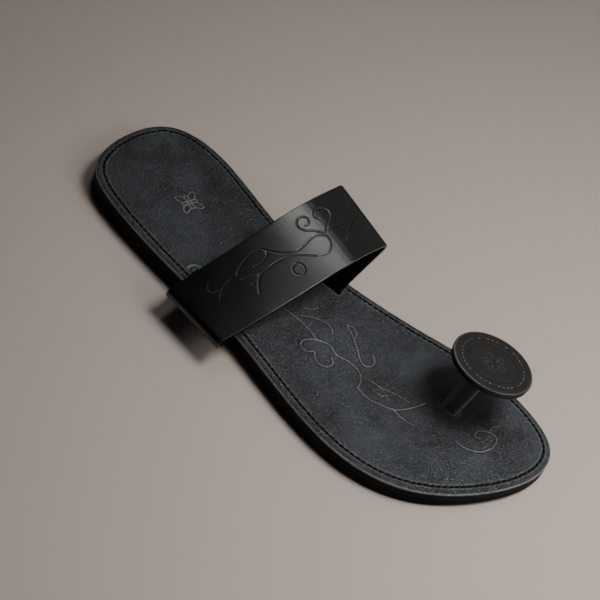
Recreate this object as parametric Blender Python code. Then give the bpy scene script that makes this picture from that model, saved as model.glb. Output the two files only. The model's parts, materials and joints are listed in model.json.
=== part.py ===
"""Right toe-knob sandal: a flat sole, a wide instep strap and a knob gripped between the first two toes.

The strap is one band of leather. Both its ends go down through slits in the insole, and it folds over
beside the sole. The knob is a leather strip that carries two discs. Metres, +Z up, +Y towards the toe,
+X to the wearer's right, which is the outer side of this shoe.
"""

import math

import bmesh
import bpy
import numpy as np
from mathutils import Matrix, Vector

# Sole
SOLE_LENGTH = 0.265
BALL_WIDTH = 0.0975
HEEL_HEIGHT = 0.0134
TOE_HEIGHT = 0.0102
INSOLE_THICKNESS = 0.0052
INSOLE_TOP_ROUND = 0.0016
INSOLE_BOTTOM_ROUND = 0.0009
OUTSOLE_TOP_ROUND = 0.0006
OUTSOLE_BOTTOM_ROUND = 0.0010
ARCH_RISE = 0.0012
TOE_SPRING = 0.0016

# Gap that pieces keep where they meet, and the play of a strip in its slit
SEAM = 0.0003

# Instep strap
STRAP_WALL = 0.0020
STRAP_WIDTH = 0.0366
SLIT_INSET = 0.0094
BRANCH_LIFT = 0.0005
OUTER_FOLD_RADIUS = 0.0021
INNER_FOLD_RADIUS = 0.0026
OUTER_SLIT_BEND = 0.0018
INNER_SLIT_BEND = 0.0040

# Height between the two bends of the outer fold, in bend radii
OUTER_FOLD_HEIGHT = 2.05

# How far the slit cutters reach below and above a slit's lower end, in insole thicknesses
CUT_BELOW = 2.0
CUT_ABOVE = 3.0

# Places along the sole, as shares of its length
OUTER_SLIT_PLACE = 0.381
OUTER_FOLD_PLACE = 0.389
INNER_FOLD_PLACE = 0.457
INNER_SLIT_PLACE = 0.441
KNOB_PLACE = 0.805

# How far the folds stand out past the sole's edge, at the strap's rear and front edges
OUTER_OVERHANG_REAR = 0.0128
OUTER_OVERHANG_FRONT = 0.0124
INNER_OVERHANG_REAR = 0.0213
INNER_OVERHANG_FRONT = 0.0104

# How high the inner fold stands above the insole
INNER_RISE_REAR = 0.0316
INNER_RISE_FRONT = 0.0264

# The band bulges above the straight line between its folds: two climbs, of this height if they were
# straight, that round into each other at this share of the way from the outer fold to the inner
CROWN_REAR = 0.0076
CROWN_FRONT = 0.0072
CROWN_PEAK_REAR = 0.69
CROWN_PEAK_FRONT = 0.755

# A higher power rounds the two climbs into each other more tightly
CROWN_POWER = 2.9

# How far the band's edges bow towards the toe between its folds
BOW_REAR = 0.0006
BOW_FRONT = 0.0015

# Toe knob
POST_WIDTH = 0.0094
POST_THICKNESS = 0.0030
POST_CORNER = 0.0005
POST_INNER_EDGE_GAP = 0.0340
POST_TWIST = math.radians(7.0)
POST_LEAN_INWARD = math.radians(22.8)
POST_LEAN_FORWARD = math.radians(8.4)
KNOB_HEIGHT = 0.0304
DISC_RADIUS = 0.0205
DISC_THICKNESS = 0.0017
DISC_ROUND = 0.0005
BACKING_RADIUS = 0.0202
BACKING_THICKNESS = 0.0015
DISC_TILT_INWARD = math.radians(12.0)

# Mesh steps
STATIONS = 40
SPLINE_STEPS = 40
BEND_STEPS = 7
CROWN_STEPS = 14
STRAP_ROWS = 6
DISC_SEGMENTS = 56
ROUND_STEPS = 3

# The sole's outline, seen from above. "along" is a share of the sole's length from the heel, and
# "across" a share of the ball's width, positive to the outer side.
OUTLINE = (
    ("heel_back", 0.000, 0.014),
    ("heel_outer_corner", 0.028, 0.218),
    ("heel_outer", 0.107, 0.312),
    ("waist_outer", 0.254, 0.367),
    ("instep_outer", 0.428, 0.409),
    ("ball_outer_rear", 0.576, 0.486),
    ("ball_outer", 0.732, 0.535),
    ("little_toe", 0.855, 0.438),
    ("toes_outer", 0.946, 0.189),
    ("toe_tip", 0.999, -0.141),
    ("big_toe", 0.972, -0.371),
    ("big_toe_inner", 0.799, -0.456),
    ("ball_inner", 0.670, -0.386),
    ("waist_inner_front", 0.503, -0.300),
    ("waist_inner", 0.337, -0.290),
    ("heel_inner", 0.149, -0.391),
    ("heel_inner_corner", 0.030, -0.305),
)

# Where the sole's underside leaves the floor, as shares of the sole's length
HEEL_REST_END = 0.30
FOREFOOT_REST_START = 0.58
FOREFOOT_REST_END = 0.86

FINISHES = {
    # name: colour, roughness
    "insole_leather": ((0.030, 0.033, 0.036), 0.50),
    "strap_leather": ((0.022, 0.023, 0.024), 0.42),
    "disc_leather": ((0.030, 0.028, 0.026), 0.62),
    "outsole_leather": ((0.024, 0.019, 0.016), 0.66),
}


def clear_scene() -> None:
    """Remove every object of the scene."""
    for old in list(bpy.data.objects):
        bpy.data.objects.remove(old, do_unlink=True)


def leather(name: str) -> bpy.types.Material:
    """Return the named leather as a Principled material."""
    colour, roughness = FINISHES[name]
    material = bpy.data.materials.new(name)
    material.use_nodes = True
    shader = material.node_tree.nodes["Principled BSDF"]
    shader.inputs["Base Color"].default_value = (*colour, 1.0)
    shader.inputs["Roughness"].default_value = roughness
    shader.inputs["Metallic"].default_value = 0.0
    material.diffuse_color = (*colour, 1.0)
    return material


def closed_spline(points: np.ndarray, steps: int) -> np.ndarray:
    """Sample a smooth closed curve through the points, with the same number of steps between each two."""
    count = len(points)
    ahead = np.roll(points, -1, axis=0)
    spans = np.linalg.norm(ahead - points, axis=1) ** 0.5
    matrix = np.zeros((count, count))
    right = np.zeros_like(points)
    for i in range(count):
        before, span = spans[i - 1], spans[i]
        matrix[i, i - 1] += before
        matrix[i, i] += 2.0 * (before + span)
        matrix[i, (i + 1) % count] += span
        right[i] = 6.0 * ((ahead[i] - points[i]) / span - (points[i] - points[i - 1]) / before)
    bend = np.linalg.solve(matrix, right)
    samples = []
    for i in range(count):
        j = (i + 1) % count
        span = spans[i]
        slope = (points[j] - points[i]) / span - span * (2.0 * bend[i] + bend[j]) / 6.0
        for t in np.linspace(0.0, span, steps, endpoint=False):
            cubic = (bend[j] - bend[i]) / (6.0 * span)
            samples.append(points[i] + slope * t + bend[i] / 2.0 * t**2 + cubic * t**3)
    return np.array(samples)


class SoleShape:
    """The sole's outline and its heights, which every other piece is placed from."""

    def __init__(self) -> None:
        table = np.array([(across * BALL_WIDTH, along * SOLE_LENGTH) for _, along, across in OUTLINE])
        curve = closed_spline(table, SPLINE_STEPS)
        low, high = curve.min(axis=0), curve.max(axis=0)
        curve[:, 0] *= BALL_WIDTH / (high[0] - low[0])
        curve[:, 1] = (curve[:, 1] - low[1]) * SOLE_LENGTH / (high[1] - low[1])
        curve = np.roll(curve, -int(curve[:, 1].argmin()), axis=0)
        toe = int(curve[:, 1].argmax())
        self.outer = curve[: toe + 1]
        self.inner = np.vstack([curve[toe:], curve[:1]])[::-1]
        along = SOLE_LENGTH * (1.0 - np.cos(np.pi * np.arange(1, STATIONS) / STATIONS)) / 2.0
        outer = [(self.outer_edge(y), y) for y in along]
        inner = [(self.inner_edge(y), y) for y in along[::-1]]
        self.outline = np.array([curve[0], *outer, curve[toe], *inner])

    def outer_edge(self, y: float) -> float:
        """Return the x of the outer edge at a place along the sole."""
        return float(np.interp(y, self.outer[:, 1], self.outer[:, 0]))

    def inner_edge(self, y: float) -> float:
        """Return the x of the inner edge at a place along the sole."""
        return float(np.interp(y, self.inner[:, 1], self.inner[:, 0]))

    def top(self, y: float) -> float:
        """Return the height of the insole's top."""
        return HEEL_HEIGHT + (TOE_HEIGHT - HEEL_HEIGHT) * y / SOLE_LENGTH

    def split(self, y: float) -> float:
        """Return the height of the insole's underside."""
        return self.top(y) - INSOLE_THICKNESS

    def outsole_top(self, y: float) -> float:
        """Return the height of the outsole's top, just under the insole."""
        return self.split(y) - SEAM

    def ground(self, y: float) -> float:
        """Return the height of the floor, down to which the post's slot is cut."""
        return 0.0

    def floor(self, y: float) -> float:
        """Return the height of the sole's underside: flat at heel and forefoot, raised at arch and toe."""
        share = y / SOLE_LENGTH
        if share >= FOREFOOT_REST_END:
            lift = (share - FOREFOOT_REST_END) / (1.0 - FOREFOOT_REST_END)
            return TOE_SPRING * min(lift, 1.0) ** 2
        if HEEL_REST_END < share < FOREFOOT_REST_START:
            arch = (share - HEEL_REST_END) / (FOREFOOT_REST_START - HEEL_REST_END)
            return ARCH_RISE * math.sin(math.pi * arch) ** 2
        return 0.0

    def inset(self, distance: float) -> np.ndarray:
        """Return the outline moved inwards by a distance."""
        run = np.roll(self.outline, -1, axis=0) - np.roll(self.outline, 1, axis=0)
        run /= np.linalg.norm(run, axis=1)[:, None]
        inward = np.column_stack([-run[:, 1], run[:, 0]])
        return self.outline + inward * distance


def rounded_wall(bottom_round: float, top_round: float) -> list[tuple[float, float, float]]:
    """Return a side wall from bottom to top, as inset, lift from the underside and drop from the top.

    A row of the lower rounding has a drop of -1, and a row of the upper rounding a lift of -1.
    """
    rows = []
    for step in range(ROUND_STEPS + 1):
        angle = math.pi / 2.0 * step / ROUND_STEPS
        inset = bottom_round * (1.0 - math.sin(angle))
        rows.append((inset, bottom_round * (1.0 - math.cos(angle)), -1.0))
    for step in range(ROUND_STEPS + 1):
        angle = math.pi / 2.0 * step / ROUND_STEPS
        inset = top_round * (1.0 - math.cos(angle))
        rows.append((inset, -1.0, top_round * (1.0 - math.sin(angle))))
    return rows


def mesh_object(name: str, points: list, faces: list, finish: str | None) -> bpy.types.Object:
    """Make an object from points and faces, with its faces pointing out.

    Args:
        name: The object's name.
        points: The corners.
        faces: Tuples of corner numbers.
        finish: The name of its leather, or None for a cutter.
    """
    mesh = bpy.data.meshes.new(name)
    mesh.from_pydata([tuple(float(c) for c in point) for point in points], [], faces)
    shape = bmesh.new()
    shape.from_mesh(mesh)
    bmesh.ops.recalc_face_normals(shape, faces=shape.faces)
    shape.to_mesh(mesh)
    shape.free()
    thing = bpy.data.objects.new(name, mesh)
    bpy.context.collection.objects.link(thing)
    if finish:
        mesh.materials.append(leather(finish))
        mesh.shade_smooth()
        mesh.set_sharp_from_angle(angle=math.radians(35.0))
    else:
        thing.hide_render = True
        thing.display_type = "WIRE"
    return thing


def stack(rings: list, ends: str) -> tuple[list, list]:
    """Join rings of equal length into a closed solid.

    Args:
        rings: Closed rings of points, from one end of the solid to the other.
        ends: "flat" closes each end with one face, "ladder" with rungs across the ring, so that the end
            may bend along it, and "strip" with rungs between the two halves of a flat ring.
    """
    size = len(rings[0])
    points = [point for ring in rings for point in ring]
    faces = []
    for level in range(len(rings) - 1):
        low, high = level * size, (level + 1) * size
        for i in range(size):
            j = (i + 1) % size
            faces.append((low + i, low + j, high + j, high + i))
    half = size // 2
    for base in (0, (len(rings) - 1) * size):
        if ends == "flat":
            faces.append(tuple(base + i for i in range(size)))
        elif ends == "strip":
            for i in range(half - 1):
                faces.append((base + i, base + i + 1, base + size - i - 2, base + size - i - 1))
        else:
            faces.append((base, base + 1, base + size - 1))
            for i in range(1, half - 1):
                faces.append((base + i, base + i + 1, base + size - i - 1, base + size - i))
            faces.append((base + half - 1, base + half, base + half + 1))
    return points, faces


def sole_layer(sole: SoleShape, name: str, low, high, rounds: tuple[float, float], finish: str):
    """Make one layer of the sole between two height functions, with a rounded side wall."""
    rings = []
    for inset, lift, drop in rounded_wall(*rounds):
        ring = [(x, y, low(y) + lift if drop < 0.0 else high(y) - drop) for x, y in sole.inset(inset)]
        rings.append(ring)
    return mesh_object(name, *stack(rings, "ladder"), finish)


def cut(thing: bpy.types.Object, cutter: bpy.types.Object) -> None:
    """Cut one object out of another with an exact Boolean."""
    boolean = thing.modifiers.new("cut_" + cutter.name, "BOOLEAN")
    boolean.operation = "DIFFERENCE"
    boolean.solver = "EXACT"
    boolean.object = cutter


def rounded_corner(before: Vector, corner: Vector, after: Vector, radius: float) -> list[Vector]:
    """Return the points of the arc that rounds a corner of a path."""
    back = (before - corner).normalized()
    ahead = (after - corner).normalized()
    half = back.angle(ahead) / 2.0
    centre = corner + (back + ahead).normalized() * (radius / math.sin(half))
    start = (corner + back * (radius / math.tan(half)) - centre).normalized()
    end = (corner + ahead * (radius / math.tan(half)) - centre).normalized()
    return [centre + start.slerp(end, step / BEND_STEPS) * radius for step in range(BEND_STEPS + 1)]


def crown_share(share: float, peak: float) -> float:
    """Return the band's bulge at a share of the way over, as a share of its straight climbs' height."""
    climb = share / peak
    fall = (1.0 - share) / (1.0 - peak)
    return (climb**-CROWN_POWER + fall**-CROWN_POWER) ** (-1.0 / CROWN_POWER)


class InstepStrap:
    """The band over the instep: its middle surface, its slits and its solid."""

    def __init__(self, sole: SoleShape) -> None:
        self.sole = sole
        folds_rear = (OUTER_OVERHANG_REAR, INNER_OVERHANG_REAR, INNER_RISE_REAR)
        folds_front = (OUTER_OVERHANG_FRONT, INNER_OVERHANG_FRONT, INNER_RISE_FRONT)
        rear = (*folds_rear, CROWN_REAR, CROWN_PEAK_REAR, BOW_REAR)
        front = (*folds_front, CROWN_FRONT, CROWN_PEAK_FRONT, BOW_FRONT)
        self.rear = self.corners(rear, -STRAP_WIDTH / 2.0)
        self.front = self.corners(front, STRAP_WIDTH / 2.0)

    def corners(self, sizes: tuple, shift: float) -> list[tuple[Vector, float]]:
        """Return the corners of one edge's path and their bend radii, from the outer tail to the inner."""
        outer_out, inner_out, rise, crown, crown_peak, bow = sizes
        sole = self.sole
        y_out, y_over = (SOLE_LENGTH * place + shift for place in (OUTER_SLIT_PLACE, OUTER_FOLD_PLACE))
        y_in, y_under = (SOLE_LENGTH * place + shift for place in (INNER_FOLD_PLACE, INNER_SLIT_PLACE))
        x_out = sole.outer_edge(y_out) - SLIT_INSET
        x_over = sole.outer_edge(y_over) + outer_out + OUTER_FOLD_RADIUS
        x_in = sole.inner_edge(y_in) - inner_out - INNER_FOLD_RADIUS
        x_under = sole.inner_edge(y_under) + SLIT_INSET
        branch = sole.top(y_over) + BRANCH_LIFT + STRAP_WALL / 2.0
        lower = Vector((x_over, y_over, branch))
        upper = Vector((x_over, y_over, branch + OUTER_FOLD_HEIGHT * OUTER_FOLD_RADIUS))
        peak = Vector((x_in, y_in, sole.top(y_in) + rise))
        rows = [
            (Vector((x_out, y_out, sole.split(y_out))), 0.0),
            (Vector((x_out, y_out, sole.top(y_out) + BRANCH_LIFT + STRAP_WALL / 2.0)), OUTER_SLIT_BEND),
            (lower, OUTER_FOLD_RADIUS),
            (upper, OUTER_FOLD_RADIUS),
        ]
        for step in range(1, CROWN_STEPS):
            share = step / CROWN_STEPS
            lift = Vector((0.0, bow * math.sin(math.pi * share), crown * crown_share(share, crown_peak)))
            rows.append((upper.lerp(peak, share) + lift, 0.0))
        rows += [
            (peak, INNER_FOLD_RADIUS),
            (Vector((x_under, y_under, sole.top(y_under) + STRAP_WALL)), INNER_SLIT_BEND),
            (Vector((x_under, y_under, sole.split(y_under))), 0.0),
        ]
        return rows

    def path(self, share: float) -> list[Vector]:
        """Return the middle line of the band at a share of its width, from the rear edge to the front."""
        rows = [(a.lerp(b, share), radius) for (a, radius), (b, _) in zip(self.rear, self.front)]
        points = [rows[0][0]]
        for i in range(1, len(rows) - 1):
            corner, radius = rows[i]
            if radius:
                points += rounded_corner(rows[i - 1][0], corner, rows[i + 1][0], radius)
            else:
                points.append(corner)
        return points + [rows[-1][0]]

    def solid(self) -> bpy.types.Object:
        """Make the band with its real wall."""
        grid = np.array([[tuple(p) for p in self.path(i / STRAP_ROWS)] for i in range(STRAP_ROWS + 1)])
        along = np.gradient(grid, axis=1)
        across = np.gradient(grid, axis=0)
        normal = np.cross(along, across)
        normal /= np.linalg.norm(normal, axis=2)[:, :, None]
        outside = grid + normal * STRAP_WALL / 2.0
        inside = grid - normal * STRAP_WALL / 2.0
        rings = []
        for column in range(grid.shape[1]):
            rings.append([*outside[:, column], *inside[::-1, column]])
        return mesh_object("instep_strap", *stack(rings, "strip"), "strap_leather")

    def slit(self, name: str, row: int) -> bpy.types.Object:
        """Make the cutter of the slit that the tail at a row of the corner table goes through."""
        rear, front = self.rear[row][0], self.front[row][0]
        run = Vector((front.x - rear.x, front.y - rear.y, 0.0))
        length = run.length + 2.0 * SEAM
        centre = (rear + front) / 2.0
        return box_cutter(name, centre, run.normalized(), length, STRAP_WALL + 2.0 * SEAM)


def box_cutter(name: str, centre: Vector, run: Vector, length: float, width: float) -> bpy.types.Object:
    """Make an upright box cutter that goes right through the insole."""
    side = Vector((-run.y, run.x, 0.0))
    rings = []
    for height in (-CUT_BELOW * INSOLE_THICKNESS, CUT_ABOVE * INSOLE_THICKNESS):
        ring = []
        for along, across in ((-1, -1), (1, -1), (1, 1), (-1, 1)):
            corner = centre + run * (along * length / 2.0) + side * (across * width / 2.0)
            ring.append((corner.x, corner.y, centre.z + height))
        rings.append(ring)
    return mesh_object(name, *stack(rings, "flat"), None)


class ToeKnob:
    """The strip between the toes and the two discs on it."""

    def __init__(self, sole: SoleShape) -> None:
        self.sole = sole
        y = SOLE_LENGTH * KNOB_PLACE
        self.base = Vector((sole.inner_edge(y) + POST_INNER_EDGE_GAP, y, sole.top(y)))
        self.lean = Vector((-math.tan(POST_LEAN_INWARD), math.tan(POST_LEAN_FORWARD), 1.0))
        self.top = self.base + self.lean * KNOB_HEIGHT
        self.normal = Vector((-math.sin(DISC_TILT_INWARD), 0.0, math.cos(DISC_TILT_INWARD)))

    def section(self, grow: float) -> list[Vector]:
        """Return the strip's level section around its base, with rounded corners, grown on all sides."""
        along = Vector((-math.sin(POST_TWIST), math.cos(POST_TWIST), 0.0))
        across = Vector((along.y, -along.x, 0.0))
        half_width = POST_WIDTH / 2.0 + grow - POST_CORNER
        half_wall = POST_THICKNESS / 2.0 + grow - POST_CORNER
        points = []
        for quarter, (u, w) in enumerate(((1, 1), (1, -1), (-1, -1), (-1, 1))):
            for step in range(ROUND_STEPS):
                angle = math.pi / 2.0 * (quarter + step / (ROUND_STEPS - 1))
                out = along * math.sin(angle) + across * math.cos(angle)
                points.append(along * (u * half_width) + across * (w * half_wall) + out * POST_CORNER)
        return points

    def strip(self, name: str, grow: float, low, high: float, finish: str | None) -> bpy.types.Object:
        """Make the strip, or its cutter, from a height function up to a depth below the disc's face."""
        bottom, top = [], []
        plane = self.top - self.normal * high
        for offset in self.section(grow):
            corner = self.base + offset
            foot = (low(corner.y) - corner.z) / self.lean.z
            bottom.append(corner + self.lean * foot)
            rise = (plane - corner).dot(self.normal) / self.lean.dot(self.normal)
            top.append(corner + self.lean * rise)
        return mesh_object(name, *stack([bottom, top], "flat"), finish)

    def disc(self, name: str, radius: float, depth: float, thickness: float) -> bpy.types.Object:
        """Make a round leather disc whose upper face lies at a depth below the knob's top."""
        arc = [math.pi / 2.0 * step / ROUND_STEPS for step in range(ROUND_STEPS + 1)]
        inset = [DISC_ROUND * (1.0 - math.sin(angle)) for angle in arc]
        fall = [DISC_ROUND * (1.0 - math.cos(angle)) for angle in arc]
        rows = [(radius - i, f) for i, f in zip(inset, fall)]
        rows += [(radius - i, thickness - f) for i, f in zip(inset[::-1], fall[::-1])]
        frame = self.normal.to_track_quat("Z", "Y").to_matrix()
        rings = []
        for reach, below in rows:
            ring = []
            for i in range(DISC_SEGMENTS):
                angle = 2.0 * math.pi * i / DISC_SEGMENTS
                point = Vector((reach * math.cos(angle), reach * math.sin(angle), -depth - below))
                ring.append(self.top + frame @ point)
            rings.append(ring)
        return mesh_object(name, *stack(rings, "flat"), "disc_leather")


def build() -> None:
    """Build the sandal and put the middle of its footprint at the origin."""
    clear_scene()
    sole = SoleShape()
    outsole_rounds = (OUTSOLE_BOTTOM_ROUND, OUTSOLE_TOP_ROUND)
    insole_rounds = (INSOLE_BOTTOM_ROUND, INSOLE_TOP_ROUND)
    outsole = sole_layer(sole, "outsole", sole.floor, sole.outsole_top, outsole_rounds, "outsole_leather")
    insole = sole_layer(sole, "insole", sole.split, sole.top, insole_rounds, "insole_leather")

    strap = InstepStrap(sole)
    band = strap.solid()
    outer_slit = strap.slit("outer_slit_cutter", 0)
    inner_slit = strap.slit("inner_slit_cutter", -1)

    knob = ToeKnob(sole)
    post = knob.strip("toe_post", 0.0, sole.split, DISC_THICKNESS + SEAM, "strap_leather")
    post_hole = knob.strip("post_slot_cutter", SEAM, sole.ground, -DISC_THICKNESS, None)
    disc = knob.disc("toe_disc", DISC_RADIUS, 0.0, DISC_THICKNESS)
    backing = knob.disc("toe_disc_backing", BACKING_RADIUS, DISC_THICKNESS + SEAM, BACKING_THICKNESS)

    for cutter in (outer_slit, inner_slit, post_hole):
        cut(insole, cutter)
    cut(backing, post_hole)

    pieces = [outsole, insole, band, post, disc, backing]
    corners = np.array([tuple(v.co) for piece in pieces for v in piece.data.vertices])
    middle = (corners.min(axis=0) + corners.max(axis=0)) / 2.0
    shift = Matrix.Translation((-middle[0], -middle[1], 0.0))
    for thing in (*pieces, outer_slit, inner_slit, post_hole):
        thing.data.transform(shift)


build()
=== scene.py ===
"""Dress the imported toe-knob sandal: pressed scrolls, seams, leather finishes, floor, light and camera.

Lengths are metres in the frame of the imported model: +Z up, +Y towards the toe, +X to the outer side of
this right shoe. Each piece is made on the same named sizes as the solid that it stands for.
"""

from __future__ import annotations

import json
import logging
import math
from dataclasses import dataclass, field, replace
from enum import Enum

import bmesh
import bpy
import numpy as np
from mathutils import Matrix, Vector

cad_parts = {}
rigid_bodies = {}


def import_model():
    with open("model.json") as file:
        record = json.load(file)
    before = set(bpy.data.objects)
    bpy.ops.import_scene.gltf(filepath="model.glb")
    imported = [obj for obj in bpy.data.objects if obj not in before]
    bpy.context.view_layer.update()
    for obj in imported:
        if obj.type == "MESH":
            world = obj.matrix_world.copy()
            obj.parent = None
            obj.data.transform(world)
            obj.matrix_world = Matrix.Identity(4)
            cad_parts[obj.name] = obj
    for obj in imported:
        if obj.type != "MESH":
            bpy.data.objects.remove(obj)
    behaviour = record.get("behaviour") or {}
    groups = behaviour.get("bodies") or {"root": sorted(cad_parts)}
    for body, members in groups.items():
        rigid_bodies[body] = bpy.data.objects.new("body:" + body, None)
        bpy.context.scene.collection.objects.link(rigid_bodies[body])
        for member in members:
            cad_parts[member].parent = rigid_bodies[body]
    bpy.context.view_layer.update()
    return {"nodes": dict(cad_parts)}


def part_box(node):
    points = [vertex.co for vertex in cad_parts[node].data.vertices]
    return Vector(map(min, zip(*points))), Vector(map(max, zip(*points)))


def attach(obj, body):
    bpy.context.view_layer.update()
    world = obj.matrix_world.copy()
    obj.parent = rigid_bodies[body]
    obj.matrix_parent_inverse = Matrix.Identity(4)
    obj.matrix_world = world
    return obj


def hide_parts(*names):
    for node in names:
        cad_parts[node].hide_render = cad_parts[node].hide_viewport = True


LOG = logging.getLogger("sandal")
MM = 0.001
BODY = "root"
MARKS = ("edge", "press", "highlight_mark")
FAR = 1.0
LINE_REACH = 4.0 * MM
NOISE_WAVES = 9
FAR_WIDTHS = 9.0
DUST_COLOUR = (0.20, 0.19, 0.175)
PETAL_SHAPE = ((0.15, 0.0), (0.45, 0.22), (0.8, 0.17), (1.0, 0.0), (0.8, -0.17), (0.45, -0.22), (0.15, 0.0))
PETAL_DEPTH = 0.22


class Socket(Enum):
    """Kinds of socket that a node group's interface is made of."""

    NUMBER = "NodeSocketFloat"
    GEOMETRY = "NodeSocketGeometry"
    MATERIAL = "NodeSocketMaterial"


class Press(Enum):
    """The two ways in which a line is worked into the leather."""

    GROOVE = "groove"
    RIDGE = "ridge"


def closed_spline(points: np.ndarray, steps: int) -> np.ndarray:
    """Sample a smooth closed curve through points.

    Args:
        points: The points, one row each.
        steps: Samples between each two points.

    Returns:
        The samples, one row each.
    """
    count = len(points)
    ahead = np.roll(points, -1, axis=0)
    spans = np.linalg.norm(ahead - points, axis=1) ** 0.5
    matrix = np.zeros((count, count))
    right = np.zeros_like(points)
    for i in range(count):
        before, span = spans[i - 1], spans[i]
        matrix[i, i - 1] += before
        matrix[i, i] += 2.0 * (before + span)
        matrix[i, (i + 1) % count] += span
        right[i] = 6.0 * ((ahead[i] - points[i]) / span - (points[i] - points[i - 1]) / before)
    bend = np.linalg.solve(matrix, right)
    samples = []
    for i in range(count):
        j = (i + 1) % count
        span = spans[i]
        slope = (points[j] - points[i]) / span - span * (2.0 * bend[i] + bend[j]) / 6.0
        cubic = (bend[j] - bend[i]) / (6.0 * span)
        for t in np.linspace(0.0, span, steps, endpoint=False):
            samples.append(points[i] + slope * t + bend[i] / 2.0 * t**2 + cubic * t**3)
    return np.array(samples)


def open_curve(points: np.ndarray, steps: int) -> np.ndarray:
    """Sample a smooth open curve through points, with a Catmull-Rom rule.

    Args:
        points: The points, one row each.
        steps: Samples between each two points.

    Returns:
        The samples, one row each, both ends included.
    """
    padded = np.vstack([2.0 * points[0] - points[1], points, 2.0 * points[-1] - points[-2]])
    samples = []
    for a, b, c, d in zip(padded, padded[1:], padded[2:], padded[3:]):
        for t in np.linspace(0.0, 1.0, steps, endpoint=False):
            rise = (2.0 * a - 5.0 * b + 4.0 * c - d) * t**2
            turn = (3.0 * b - a - 3.0 * c + d) * t**3
            samples.append(0.5 * (2.0 * b + (c - a) * t + rise + turn))
    samples.append(points[-1])
    return np.array(samples)


def resample(line: np.ndarray, count: int) -> np.ndarray:
    """Spread points evenly by length along a line.

    Args:
        line: The line's points, one row each.
        count: How many points are wanted, both ends included.

    Returns:
        The spread points, one row each.
    """
    run = np.r_[0.0, np.cumsum(np.linalg.norm(np.diff(line, axis=0), axis=1))]
    marks = np.linspace(0.0, run[-1], count)
    return np.column_stack([np.interp(marks, run, line[:, k]) for k in range(line.shape[1])])


def quarter_turn(steps: int) -> list[float]:
    """Return the angles that divide a quarter turn into steps, both ends included."""
    return [math.pi / 2.0 * step / steps for step in range(steps + 1)]


def bell(value: float | np.ndarray, middle: float, width: float) -> float | np.ndarray:
    """Return a bell curve of height 1 around a middle."""
    return np.exp(-(((value - middle) / width) ** 2))


def smooth_noise(places: np.ndarray, size: float, seed: int) -> np.ndarray:
    """Make a soft bumpy field, the sum of a few seeded waves.

    Args:
        places: Points in the plane, one row each.
        size: The usual width of a bump.
        seed: The seed of the waves.

    Returns:
        A value between about -1 and 1 for each point.
    """
    rng = np.random.default_rng(seed)
    total = np.zeros(len(places))
    for _ in range(NOISE_WAVES):
        angle, phase = rng.uniform(0.0, 2.0 * math.pi, 2)
        wave = 2.0 * math.pi / (size * rng.uniform(1.4, 3.2))
        heading = np.array([math.cos(angle), math.sin(angle)]) * wave
        total += np.sin(places @ heading + phase)
    return total / (NOISE_WAVES / 2.0)


def swells(places: np.ndarray, rows: tuple[tuple[float, float, int], ...]) -> np.ndarray:
    """Add up soft bumpy fields, each given as its height, the width of its bumps and its seed."""
    return sum(height * smooth_noise(places, width, seed) for height, width, seed in rows)


def line_distance(places: np.ndarray, line: np.ndarray) -> np.ndarray:
    """Measure how far places in the plane are from a polyline.

    Args:
        places: Points in the plane, one row each.
        line: The polyline's points, one row each.

    Returns:
        The distances, and FAR for a place that is nowhere near the line.
    """
    best = np.full(len(places), FAR)
    low, high = line.min(axis=0) - LINE_REACH, line.max(axis=0) + LINE_REACH
    near = np.nonzero(((places > low) & (places < high)).all(axis=1))[0]
    if not len(near):
        return best
    spot = places[near]
    found = np.full(len(near), FAR)
    for a, b in zip(line[:-1], line[1:]):
        run = b - a
        share = np.clip(((spot - a) @ run) / max(run @ run, 1e-12), 0.0, 1.0)
        found = np.minimum(found, np.linalg.norm(spot - a - share[:, None] * run, axis=1))
    best[near] = found
    return best


def make_mesh(name: str, points: np.ndarray, faces: list, marks: dict[str, np.ndarray]) -> bpy.types.Object:
    """Make a smooth-shaded object with point attributes.

    Args:
        name: The object's name.
        points: The corners, one row each.
        faces: Tuples of corner numbers, facing out.
        marks: Values between 0 and 1 for each corner, by attribute name.

    Returns:
        The linked object.
    """
    mesh = bpy.data.meshes.new(name)
    mesh.from_pydata(points.tolist(), [], faces)
    for mark, values in marks.items():
        layer = mesh.attributes.new(mark, "FLOAT", "POINT")
        layer.data.foreach_set("value", np.asarray(values, np.float32))
    mesh.shade_smooth()
    mesh.update()
    thing = bpy.data.objects.new(name, mesh)
    bpy.context.collection.objects.link(thing)
    return thing


def ring_faces(levels: int, size: int) -> list[tuple[int, ...]]:
    """Make the quads between rings of corners that are stacked one after another.

    Args:
        levels: How many rings there are.
        size: How many corners each ring has.

    Returns:
        The quads as tuples of corner numbers.
    """
    faces = []
    for level in range(levels - 1):
        low, high = level * size, (level + 1) * size
        for i in range(size):
            j = (i + 1) % size
            faces.append((low + i, low + j, high + j, high + i))
    return faces


def settle(thing: bpy.types.Object) -> bpy.types.Object:
    """Turn an object's modifiers into its plain mesh.

    Args:
        thing: The object with its modifiers.

    Returns:
        The same object with the evaluated mesh and no modifier.
    """
    graph = bpy.context.evaluated_depsgraph_get()
    mesh = bpy.data.meshes.new_from_object(thing.evaluated_get(graph), depsgraph=graph)
    thing.modifiers.clear()
    thing.data = mesh
    return thing


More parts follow.
